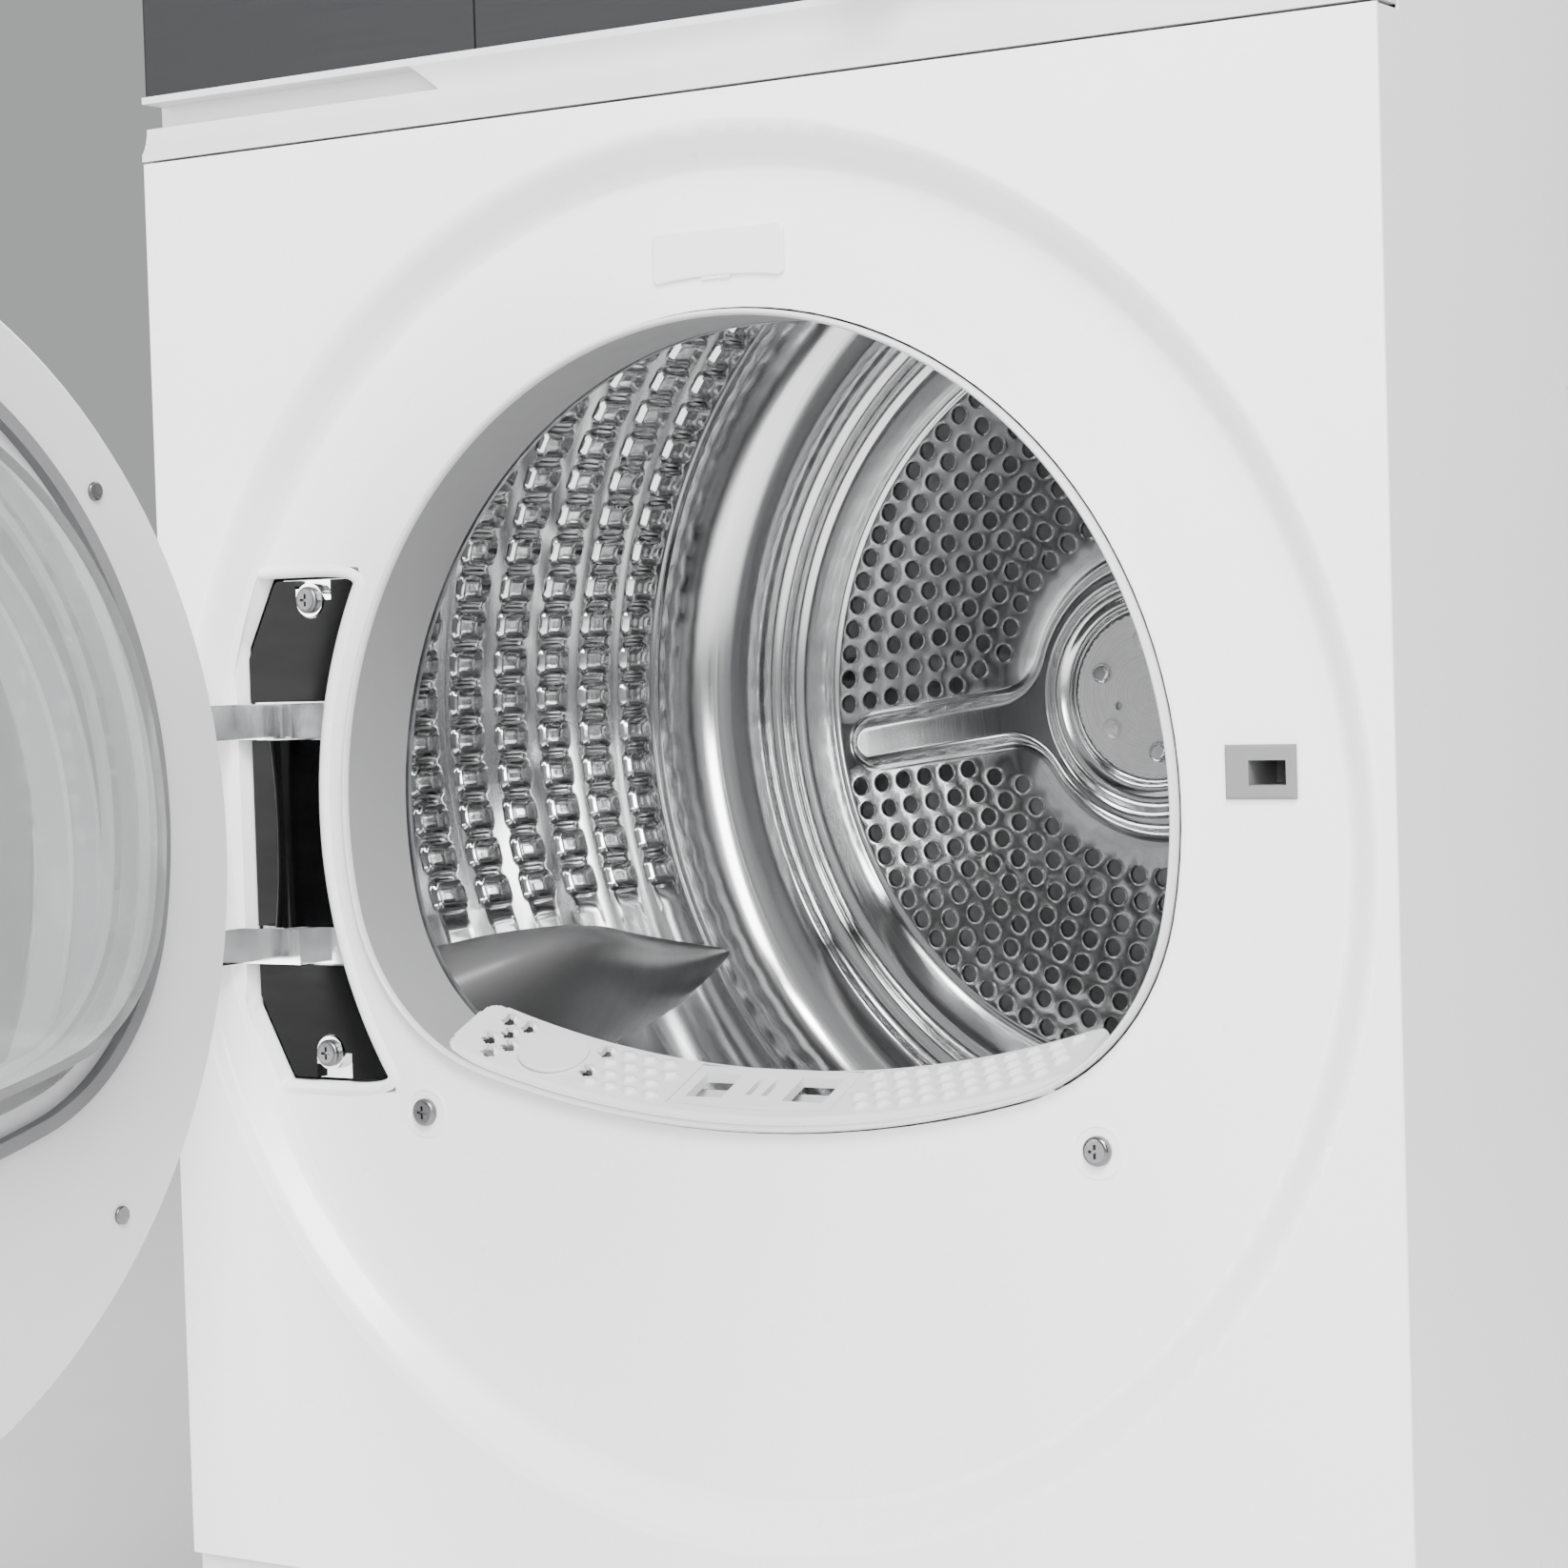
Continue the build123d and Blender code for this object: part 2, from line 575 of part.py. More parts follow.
def bearing_bridge():
    """Cross bar welded over the rear opening, with the socket that holds the drum shaft."""
    y = REAR_PLATE_Y
    bar = block(-206, 206, y - 0.5, y + 1.5, DRUM_Z - 22, DRUM_Z + 22)
    bar -= block(-202, -50, y - 3, y + 3, DRUM_Z - 10, DRUM_Z + 10)
    bar -= block(50, 202, y - 3, y + 3, DRUM_Z - 10, DRUM_Z + 10)
    bar += rod_y(0, DRUM_Z, 30, y - 0.5, y + 26)
    bar -= rod_y(0, DRUM_Z, SHAFT_R + RUN_GAP, y - 3, y + 23)
    return bar


def motor_housing():
    y0, y1 = BELT_Y + 26, BELT_Y + 150
    can = rod_y(MOTOR_X, MOTOR_Z, 58, y0, y1)
    can = fillet(can.edges(), 6.0)
    can -= rod_y(MOTOR_X, MOTOR_Z, 7.0 + RUN_GAP, y0 - 1, y1 + 1)
    can -= rod_y(MOTOR_X, MOTOR_Z, 42, y0 + 8, y1 - 8)
    for y in (y0 + 18, y1 - 26):
        can += block(MOTOR_X - 50, MOTOR_X + 50, y, y + 8, TRAY_FLOOR + 3, MOTOR_Z - 48)
    for k in range(8):
        a = 45 * k + 22.5
        dx, dz = polar(50, a)
        can -= rod_y(MOTOR_X + dx, MOTOR_Z + dz, 4, y0 - 1, y0 + 12)
    return can


def motor_rotor():
    y0 = BELT_Y - BELT_W / 2 - 4
    y_fan = FAN_Y + FAN_W - 8
    rotor = rod_y(MOTOR_X, MOTOR_Z, 7.0, BELT_Y + 12, BELT_Y + 156)
    rotor += rod_y(MOTOR_X, MOTOR_Z, PULLEY_R - 0.4, y0, BELT_Y + 12)
    rotor += rod_y(MOTOR_X, MOTOR_Z, 5.0, BELT_Y + 156, y_fan)
    rotor += rod_y(MOTOR_X, MOTOR_Z, 40, BELT_Y + 26 + 14, BELT_Y + 150 - 14)
    for y in (y0, BELT_Y + BELT_W / 2 + 1):
        rotor += rod_y(MOTOR_X, MOTOR_Z, 11.0, y, y + 3)
    return rotor


def fan_impeller():
    y0, y1 = FAN_Y + 5, FAN_Y + FAN_W - 10
    wheel = rod_y(MOTOR_X, MOTOR_Z, FAN_R, y1 - 2, y1)
    wheel += rod_y(MOTOR_X, MOTOR_Z, 14, y0 + 8, y1)
    wheel += ring_y(MOTOR_X, MOTOR_Z, FAN_R, FAN_R - 10, y0, y0 + 2)
    for k in range(20):
        blade = block(FAN_R - 12, FAN_R - 1, y0 + 0.5, y1 - 0.5, -0.9, 0.9)
        wheel += Pos(MOTOR_X, 0, MOTOR_Z) * Rot(0, 18 * k, 0) * blade
    wheel -= rod_y(MOTOR_X, MOTOR_Z, 5.02, y0, y1 + 1)
    return wheel


def fan_housing():
    y0, y1 = FAN_Y, FAN_Y + FAN_W
    outer = rod_y(MOTOR_X, MOTOR_Z, 78, y0, y1)
    outer += block(MOTOR_X - 58, MOTOR_X + 58, y0, y1, MOTOR_Z, 243.3)
    inner = rod_y(MOTOR_X, MOTOR_Z, 75.5, y0 + 2, y1 - 2)
    inner += block(MOTOR_X - 55, MOTOR_X + 55, y0 + 2, y1 - 2, MOTOR_Z, 250)
    housing = outer - inner
    housing -= rod_y(MOTOR_X, MOTOR_Z, 42, y0 - 1, y0 + 3)
    for sx in (-1, 1):
        x = MOTOR_X + 40 * sx
        housing += block(x - 6, x + 6, y0, y1, TRAY_FLOOR + 3, MOTOR_Z - 68)
    return housing


def belt_face(grow):
    circles = [
        (0.0, DRUM_Z, DRUM_R + DRUM_T + BELT_GAP),
        (MOTOR_X, MOTOR_Z, PULLEY_R),
        (IDLER_X, IDLER_Z, IDLER_R + BELT_GAP),
    ]
    edges = [(Pos(x, z) * Circle(r + grow)).edge() for x, z, r in circles]
    return make_hull(edges)


def drive_belt():
    y0, y1 = BELT_Y - BELT_W / 2, BELT_Y + BELT_W / 2
    return prism_y(belt_face(BELT_T), y0, y1) - prism_y(belt_face(0), y0 - 1, y1 + 1)


def tension_arm():
    """Sprung arm that holds the idler out against the belt."""
    px, pz = ARM_PIVOT
    y0 = BELT_Y + BELT_W / 2 + 3
    angle = math.degrees(math.atan2(IDLER_Z - pz, IDLER_X - px))
    length = math.hypot(IDLER_X - px, IDLER_Z - pz)
    arm = Pos(px, 0, pz) * Rot(0, -angle, 0) * block(0, length, y0, y0 + 3, -7, 7)
    arm += rod_y(px, pz, 10, y0, y0 + 3)
    arm += rod_y(IDLER_X, IDLER_Z, 9, y0, y0 + 3)
    arm += rod_y(IDLER_X, IDLER_Z, 4.0, BELT_Y - 9, y0)
    arm -= rod_y(px, pz, 4.05, y0 - 1, y0 + 4)
    return arm


def arm_post():
    px, pz = ARM_PIVOT
    y0 = BELT_Y + BELT_W / 2 + 3
    post = block(px - 9, px + 9, y0 + 4, y0 + 7, TRAY_FLOOR + 3, pz + 10)
    post += block(px - 9, px + 9, y0 + 4, y0 + 26, TRAY_FLOOR + 3, TRAY_FLOOR + 6)
    post += rod_y(px, pz, 4.0, y0 - 2, y0 + 4)
    return post


def idler_pulley():
    y0, y1 = BELT_Y - BELT_W / 2 - 3, BELT_Y + BELT_W / 2 + 2.5
    wheel = rod_y(IDLER_X, IDLER_Z, IDLER_R, y0, y1)
    for y in (y0, y1 - 2.0):
        wheel += rod_y(IDLER_X, IDLER_Z, IDLER_R + 3, y, y + 2.0)
    return wheel - rod_y(IDLER_X, IDLER_Z, 4.05, y0 - 1, y1 + 1)


def support_roller(side):
    reach = DRUM_R + DRUM_T + ROLLER_R + 0.4
    x = side * reach * math.sin(ROLLER_ANGLE)
    z = DRUM_Z - reach * math.cos(ROLLER_ANGLE)
    y0, y1 = ROLLER_Y - ROLLER_W / 2, ROLLER_Y + ROLLER_W / 2
    wheel = rod_y(x, z, ROLLER_R, y0, y1)
    wheel = fillet(wheel.edges(), 1.5)
    wheel -= ring_y(x, z, 22, 11, y0 - 1, y0 + 3)
    wheel -= ring_y(x, z, 22, 11, y1 - 3, y1 + 1)
    return wheel - rod_y(x, z, 5.05, y0 - 1, y1 + 1)


def compressor():
    x, y = -185.0, 175.0
    can = rod_z(x, y, 56, TRAY_FLOOR + 15, 190)
    can = fillet(can.edges().group_by(Axis.Z)[-1], 26.0)
    can = fillet(can.edges().group_by(Axis.Z)[0], 12.0)
    can += block(x - 66, x + 66, y - 12, y + 12, TRAY_FLOOR + 14, TRAY_FLOOR + 17)
    for dx in (-56, 56):
        can += rod_z(x + dx, y, 9, TRAY_FLOOR + 3, TRAY_FLOOR + 14)
    can += rod_z(x + 30, y - 20, 4, 150, 199)
    can += rod_z(x - 30, y - 20, 4, 150, 199)
    return can


def finned_coil(x0, x1, y0, y1, z0, z1):
    """Plate fins across the air stream, threaded on tubes between two end plates."""
    fins = []
    count = 17
    pitch = (x1 - x0 - 1.0) / (count - 1)
    for k in range(count):
        x = x0 + pitch * k
        fins.append(block(x, x + 1.0, y0, y1, z0, z1))
    for row in range(4):
        for column in range(2):
            z = z0 + (z1 - z0) * (row + 0.5) / 4
            y = y0 + (y1 - y0) * (column + 0.5) / 2
            fins.append(rod_x(y, z, 4.5, x0 - 8, x1 + 8))
    return fins[0].fuse(*fins[1:])


def evaporator():
    return finned_coil(-258, -100, FRONT + 66, FRONT + 130, TRAY_FLOOR + 3, 168)


def condenser():
    return finned_coil(-258, -100, FRONT + 150, FRONT + 290, TRAY_FLOOR + 3, 168)


def refrigerant_pipes():
    """Two copper runs from the compressor's top to the coils."""
    runs = []
    for dx, y_end, z_end in ((30, FRONT + 130.5, 178), (-30, FRONT + 290.5, 178)):
        x, y = -185.0 + dx, 155.0
        y_drop = y_end - 20
        path = FilletPolyline(
            (x, y, 199.5), (x, y, 214), (x, y_drop, 214), (x, y_drop, 168.6), radius=9.0)
        start = path.location_at(0)
        runs.append(sweep(Plane(start) * Circle(3.2), path=path))
    return Compound(children=runs)


def tank_tray():
    z0 = STRIP_TOP + 1.2
    x0, x1 = -294.0, DRAWER_EDGE - 2
    y0, y1 = FRONT + 24, BACK - 30
    tray = block(x0, x1, y0, y1, z0, z0 + 1.5)
    tray += block(x1 - 1.5, x1, y0, y1, z0, FASCIA_TOP - 8)
    tray += block(x0, x0 + 1.5, y0, y1, z0, FASCIA_TOP - 8)
    tray += block(x0, x1, y1 - 1.5, y1, z0, FASCIA_TOP - 8)
    return tray


def water_tank():
    z0, z1 = STRIP_TOP + 3.2, FASCIA_TOP - 4
    x0, x1 = -291.5, DRAWER_EDGE - 4.5
    y0, y1 = FRONT + 15, TANK_BACK
    tank = block(x0, x1, y0, y1, z0, z1)
    tank = fillet(tank.edges().filter_by(Axis.Z), 8.0)
    tank -= block(x0 + 2, x1 - 2, y0 + 2, y1 - 2, z0 + 2, z1 - 2)
    tank -= rod_z((x0 + x1) / 2, y0 + 60, 15, z1 - 3, z1 + 1)
    return tank


def tank_drawer_front():
    y0, y1 = FRONT + 2.5, FRONT + 14.9
    front = block(-HALF_W, DRAWER_EDGE - 0.5, y0, y1, STRIP_TOP + 0.4, FASCIA_TOP)
    front = fillet(front.edges().filter_by(Axis.Z).sort_by(Axis.X)[0], 2.0)
    return front


def program_knob():
    y1 = FRONT + 2.2
    knob = rod_y(KNOB_X, KNOB_Z, 21, y1 - 20, y1)
    knob = fillet(knob.faces().sort_by(Axis.Y)[0].edges(), 2.5)
    knob += rod_y(KNOB_X, KNOB_Z, 23.5, y1 - 3, y1)
    knob += rod_y(KNOB_X, KNOB_Z, 5.0, y1, FRONT + 20)
    return knob


def push_button(x, half, name):
    key = block(x - half, x + half, FRONT + 0.8, FRONT + 12, KNOB_Z - 9, KNOB_Z + 9)
    key = fillet(key.faces().sort_by(Axis.Y)[0].edges(), 1.0)
    save(key, name)


# ---- lint filter, lifts out of the tunnel floor ----

def filter_top(z_shift):
    run = TUNNEL_BACK - FLOOR_Y - 3
    y = FILTER_Y[0]
    return OPEN_Z + OPEN_FLOOR + 3.3 + GRILLE_RISE * (y - FLOOR_Y - 2) / run + z_shift


def lint_filter_frame():
    x0, x1 = FILTER_X
    y0, y1 = FILTER_Y
    rise = GRILLE_RISE * (y1 - y0) / (TUNNEL_BACK - FLOOR_Y - 3)
    z = filter_top(0)
    side = Plane(origin=(x0, 0, 0), x_dir=(0, 1, 0), z_dir=(1, 0, 0))
    lid = Polyline((y0, z - 3), (y1, z + rise - 3), (y1, z + rise + 1.2), (y0, z + 1.2), close=True)
    handle = extrude(side * make_face(lid), x1 - x0)
    for low, high in ((x0 + 6, x0 + 24), (x1 - 26, x1 - 6)):
        handle -= block(low, high, y0 + 5, y1 - 5, z - 10, z + 30)
    for k in range(2):
        x = x0 + 34 + 8 * k
        handle -= block(x, x + 3, y0 + 8, y1 - 8, z - 10, z + 30)
    wall = 2.0
    leaf_top = z - 2.5
    leaf_low = 226.0
    body = block(x0 + 1, x1 - 1, y0 + 3, y1 - 3, leaf_low, leaf_top + 6)
    body -= block(x0 + 1 + wall, x1 - 1 - wall, y0 + 3 + wall, y1 - 3 - wall, leaf_low + wall, leaf_top + 20)
    body -= block(x0 + 6, x1 - 6, y0, y1, leaf_low + 6, leaf_top - 8)
    body &= extrude(side * make_face(Polyline(
        (y0, leaf_low - 1), (y1, leaf_low - 1), (y1, z + rise - 1), (y0, z - 1), close=True)), x1 - x0)
    return handle + body


def lint_filter_mesh():
    x0, x1 = FILTER_X
    z = filter_top(0)
    sheets = []
    for y in (FILTER_Y[0] + 3.7, FILTER_Y[1] - 4.3):
        sheets.append(block(x0 + 6.1, x1 - 6.1, y, y + 0.6, 232.1, z - 10.6))
    return Compound(children=sheets)


# ---- drum ----

def drum_mantle():
    shell = ring_y(0, DRUM_Z, DRUM_R + DRUM_T, DRUM_R, DRUM_FRONT, DRUM_SEAM)
    hem = ring_y(0, DRUM_Z, DRUM_R + DRUM_T, DRUM_R - 4, DRUM_FRONT, DRUM_FRONT + 1.2)
    return shell + hem


def rear_outline():
    """Front line of the rear wall from its rim to the perforated disc, as (radius, depth)."""
    return [
        (DRUM_R, 373.2), (283, 381), (277, 390), (266, 398), (250, 403), (234, 405),
        (226, 403), (216, 399), (206, 399), (199, 402), (DISC_R, 404),
    ]


def hole_spots():
    """Rings of holes; in each third the first and last hole stand beside a spoke."""
    spots = []
    for ring in range(HOLE_RINGS):
        radius = DISC_R - 9.0 - HOLE_PITCH * ring
        flare = 6.0 * max(0, ring - 5)
        edge = math.degrees(math.asin((RIB_HALF + 8.5 + flare) / radius))
        arc = 120 - 2 * edge
        count = int(math.radians(arc) * radius / HOLE_PITCH)
        for third in range(3):
            for k in range(count + 1):
                angle = SPOKE_ANGLE + 120 * third + edge + arc * k / count
                spots.append(polar(radius, angle))
    return spots


def drum_rear_wall():
    t = 1.2
    front = [(r, FRONT + d) for r, d in rear_outline()]
    rear = [(r + (1.0 if r > 260 else 0.0), y + (t if r < 280 else 0.4)) for r, y in front]
    rim = turned(front + rear[::-1], DRUM_Z)
    face = Pos(0, DRUM_Z) * Circle(DISC_R)
    holes = [Pos(x, z + DRUM_Z) * Circle(HOLE_R) for x, z in hole_spots()]
    face -= holes
    disc = prism_y(face, DISC_Y, DISC_Y + t)
    wall = rim + disc
    for k in range(3):
        angle = SPOKE_ANGLE + 120 * k
        x0, z0 = polar(45, angle)
        x1, z1 = polar(RIB_TIP, angle)
        middle = Pos((x0 + x1) / 2, (z0 + z1) / 2 + DRUM_Z)
        length = math.hypot(x1 - x0, z1 - z0)
        rib = middle * Rot(0, 0, angle) * SlotCenterToCenter(length, 2 * RIB_HALF)
        hollow = middle * Rot(0, 0, angle) * SlotCenterToCenter(length, 2 * RIB_HALF - 2.4)
        wall += prism_y(rib, DISC_Y - RIB_RISE, DISC_Y)
        wall -= prism_y(hollow, DISC_Y - RIB_RISE + t, DISC_Y + t + 1)
    hub = rod_y(0, DRUM_Z, STAR_R, DISC_Y - RIB_RISE, DISC_Y)
    hub += rod_y(0, DRUM_Z, HUB_R, DISC_Y - HUB_RISE, DISC_Y)
    hub = fillet(hub.faces().sort_by(Axis.Y)[0].edges(), 2.0)
    wall += hub
    wall -= rod_y(0, DRUM_Z, HUB_R - 2, DISC_Y - HUB_RISE + 2, DISC_Y + 3)
    wall -= rod_y(0, DRUM_Z, STAR_R - 1.5, DISC_Y - RIB_RISE + t, DISC_Y + 3)
    for k in range(3):
        x, z = polar(29, SPOKE_ANGLE + 120 * k - 30)
        wall -= rod_y(x, z + DRUM_Z, 3.0, DISC_Y - HUB_RISE - 1, DISC_Y + 3)
    return wall


def hub_rivets():
    y = DISC_Y - HUB_RISE
    rivets = []
    for k in range(3):
        x, z = polar(29, SPOKE_ANGLE + 120 * k - 30)
        head = rod_y(x, z + DRUM_Z, 5.5, y - 3, y - 0.02)
        head = fillet(head.faces().sort_by(Axis.Y)[0].edges(), 2.5)
        rivets.append(head + rod_y(x, z + DRUM_Z, 2.9, y - 0.02, y + 1.9))
    return Compound(children=rivets)


def drum_shaft():
    """Stub shaft with a round flange behind the hub."""
    y = DISC_Y - HUB_RISE + 2.1
    shaft = rod_y(0, DRUM_Z, 40, y, y + 5)
    shaft += rod_y(0, DRUM_Z, 22, y + 5, y + 20)
    shaft += rod_y(0, DRUM_Z, SHAFT_R, y + 20, REAR_PLATE_Y + 22)
    return shaft


def paddle(inset):
    """One lifter, built at the bottom of the drum and hollow below; inset shrinks it."""
    crest = [(72, 33), (100, 49), (130, 66), (160, 72), (206, 63), (275, 41), (345, 25)]
    points = [(FRONT + d, h - inset) for d, h in crest]
    points[0] = (points[0][0] + inset, points[0][1])
    points[-1] = (points[-1][0] - 1.5 * inset, points[-1][1])
    foot = -6.0
    front_foot, rear_foot = FRONT + 66 + inset, FRONT + 324 - inset
    edges = [
        Line((front_foot, foot), points[0]),
        Spline(*points),
        Line(points[-1], (rear_foot, foot)),
        Line((rear_foot, foot), (front_foot, foot)),
    ]
    side = Plane(origin=(-60, 0, 0), x_dir=(0, 1, 0), z_dir=(1, 0, 0))
    long_view = extrude(side * make_face(Wire(edges)), 120)
    half = 36.0 - inset
    top = 72.0 - inset
    section = make_face(Polyline((-half, foot), (half, foot), (9, top + 6), (-9, top + 6), close=True))
    section = fillet(section.vertices().group_by(Axis.Y)[-1], 7.0)
    return long_view & prism_y(section, FRONT + 60, FRONT + 380)


def drum_paddles():
    shape = paddle(0) - paddle(3.0)
    placed = []
    bore = rod_y(0, DRUM_Z, DRUM_R - 0.05, FRONT + 50, FRONT + 390)
    for k in range(3):
        turn = PADDLE_ANGLE + 120 * k + 90
        at = Pos(0, 0, DRUM_Z) * Rot(0, -turn, 0) * Pos(0, 0, -DRUM_R) * shape
        placed.append(at & bore)
    return Compound(children=placed)


# ---- door, built shut ----

def door_swing(shape):
    axis = Axis((HINGE_X, HINGE_Y, 0), (0, 0, 1))
    return shape.rotate(axis, -DOOR_REST)


def door_ring():
    y = DOOR_FRONT
    outline = [
        (DOOR_RING_IN, y + 4), (180, y), (236, y), (250, y + 5), (DOOR_R, y + 15), (DOOR_R, DOOR_BACK - 4),
        (DOOR_R - 3, DOOR_BACK - 4), (DOOR_R - 3, y + 16), (248, y + 8), (235, y + 3), (182, y + 3),
        (DOOR_RING_IN + 3, y + 7), (DOOR_RING_IN + 3, y + 26), (DOOR_RING_IN, y + 26),
    ]
    ring = turned(outline, DISH_Z)
    grip = block(240, 262, y + 15, DOOR_BACK - 9, DISH_Z - 45, DISH_Z + 45)
    return ring - grip


def door_glass():
    pane = rod_y(0, DISH_Z, DOOR_RING_IN - 0.4, DOOR_FRONT + 3, DOOR_FRONT + 8)
    return fillet(pane.faces().sort_by(Axis.Y)[0].edges(), 1.5)


def door_inner_frame():
    y0, y1 = DOOR_BACK - 3.8, DOOR_BACK
    frame = rod_y(0, DISH_Z, DOOR_R - 3.4, y0, y1)
    frame += ring_y(0, DISH_Z, DOOR_R - 3.4, DOOR_R - 6.4, y0 - 10, y0)
    frame -= prism_y(opening_face(-22), y0 - 1, y1 + 1)
    frame += ring_y(0, DISH_Z, 179, 176.2, DOOR_FRONT + 12, y0) - rod_y(0, OPEN_Z, 168, y0 - 1, y1)
    return frame


def door_bowl():
    """Clear bowl that reaches into the tunnel and keeps the load off the door."""
    y0, y1 = DOOR_BACK, FRONT + 42.0
    outer = extrude(upright(y0) * opening_face(-14), -(y1 - y0), taper=12)
    inner = extrude(upright(y0 - 1) * opening_face(-18), -(y1 - y0 - 3), taper=12)
    flange = prism_y(opening_face(-4) - opening_face(-18), y0, y0 + 3)
    return outer - inner + flange


def door_seal():
    band = prism_y(opening_face(12) - opening_face(6), DOOR_BACK, FLOOR_Y - 0.4)
    return band


def door_hook():
    x = (SLOT_X[0] + 2.2, SLOT_X[1] - 6.0)
    z0, z1 = SLOT_Z[0] + 1, SLOT_Z[1] - 1.5
    hook = block(x[0], x[1], DOOR_BACK, FLOOR_Y + 17, z0, z1)
    hook -= block(x[1] - 2.2, x[1] + 1, FLOOR_Y + 7, FLOOR_Y + 13, z0 - 1, z1 + 1)
    hook += block(x[0] - 6, x[1] + 6, DOOR_BACK, DOOR_BACK + 1.2, z0 - 3, z1 + 3)
    return hook


def door_knuckle():
    low = HINGE_ARM_Z[1] + ARM_H / 2 + 0.5
    high = HINGE_ARM_Z[0] - ARM_H / 2 - 0.5
    barrel = rod_z(HINGE_X, HINGE_Y, KNUCKLE_R, low, high)
    web = block(HINGE_X, -240, HINGE_Y - 3, HINGE_Y + 3, low, high)
    body = barrel + web - rod_y(0, DISH_Z, DOOR_R + 0.02, FRONT - 60, FRONT + 20)
    return body - rod_z(HINGE_X, HINGE_Y, PIN_R + RUN_GAP, low - 1, high + 1)


def door_screws():
    screws = []
    for degrees in (40, 75, 105, 140, 220, 255, 285, 320):
        x, z = polar(236, degrees)
        head = rod_y(x, z + DISH_Z, 4.0, DOOR_BACK + 0.02, DOOR_BACK + 1.6)
        screws.append(fillet(head.faces().sort_by(Axis.Y)[-1].edges(), 0.8))
    return Compound(children=screws)


# ---- base fittings ----

def feet():
    legs = []
    for sx in (-1, 1):
        for sy in (-1, 1):
            x, y = sx * FOOT_X, sy * FOOT_Y
            leg = rod_z(x, y, FOOT_R, 0, 11)
            leg = fillet(leg.edges().group_by(Axis.Z)[-1], 2.0)
            leg += extrude(Pos(x, y, 11) * RegularPolygon(11, 6), 7)
            leg += rod_z(x, y, 5.0, 18, 40)
            legs.append(leg)
    return Compound(children=legs)


def cord_gland():
    gland = rod_y(240, 90, 11.8, BACK - 10, BACK + 3)
    gland += rod_y(240, 90, 15, BACK + 0.05, BACK + 3)
    gland -= rod_y(240, 90, 4.5, BACK - 11, BACK + 4)
    return gland


def drain_spigot():
    spigot = rod_y(-240, 700, 10.8, BACK - 10, BACK)
    spigot += rod_y(-240, 700, 15, BACK + 0.05, BACK + 3)
    spigot += rod_y(-240, 700, 8, BACK, BACK + 22)
    return spigot - rod_y(-240, 700, 5.5, BACK - 11, BACK + 23)


save(base_tray(), "base_tray")
right_side = side_panel()
save(right_side, "right_side_panel")
save(mirrored(right_side), "left_side_panel")
save(worktop(), "worktop")
save(rear_panel(), "rear_panel")
save(front_panel(), "front_panel")
save(control_strip(), "control_strip")
save(control_fascia(), "control_fascia")
save(plinth_panel(), "plinth_panel")
save(service_flap(), "service_flap")
save(front_bulkhead(), "front_bulkhead")
save(tunnel_bezel(), "tunnel_bezel")
save(drum_felt_seals(), "drum_felt_seals")
save(outlet_grille(), "outlet_grille")
save(grille_cap(), "grille_cap")
save(blanking_cover(), "blanking_cover")
save(door_lock_housing(), "door_lock_housing")
save(latch_catch(), "latch_catch")
save(hinge_bracket(), "hinge_bracket")
save(hinge_covers(), "hinge_covers")
save(panel_screws(), "panel_screws")
save(rear_bulkhead(), "rear_bulkhead")
save(rear_air_duct(), "rear_air_duct")
save(motor_housing(), "motor_housing")
save(motor_rotor(), "motor_rotor")
save(fan_impeller(), "fan_impeller")
save(fan_housing(), "fan_housing")
save(drive_belt(), "drive_belt")
save(tension_arm(), "tension_arm")
save(idler_pulley(), "idler_pulley")
save(support_roller(-1), "left_roller")
save(support_roller(1), "right_roller")
save(compressor(), "compressor")
save(evaporator(), "evaporator")
save(condenser(), "condenser")
save(refrigerant_pipes(), "refrigerant_pipes")
save(tank_tray(), "tank_tray")
save(water_tank(), "water_tank")
save(tank_drawer_front(), "tank_drawer_front")
save(program_knob(), "program_knob")
push_button(POWER_X, 9.0, "power_button")
push_button(START_X, 16.0, "start_button")
save(lint_filter_frame(), "lint_filter_frame")
save(lint_filter_mesh(), "lint_filter_mesh")
save(drum_mantle(), "drum_mantle")
save(drum_rear_wall(), "drum_rear_wall")
save(hub_rivets(), "hub_rivets")
save(drum_shaft(), "drum_shaft")
save(drum_paddles(), "drum_paddles")
save(door_swing(door_ring()), "door_ring")
save(door_swing(door_glass()), "door_glass")
save(door_swing(door_inner_frame()), "door_inner_frame")
save(door_swing(door_bowl()), "door_bowl")
save(door_swing(door_seal()), "door_seal")
save(door_swing(door_hook()), "door_hook")
save(door_swing(door_knuckle()), "door_knuckle")
save(door_swing(door_screws()), "door_screws")
save(feet(), "feet")
save(cord_gland(), "cord_gland")
save(drain_spigot(), "drain_spigot")
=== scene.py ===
"""The looks of a front-loading tumble dryer with its door open, built around the CAD frame.

Shapes are written in millimetres in the frame's own axes (X right, Y into the machine, Z up).
"""

import math

import bmesh
import bpy
import numpy as np
from mathutils import Matrix, Vector
from mathutils.geometry import delaunay_2d_cdt


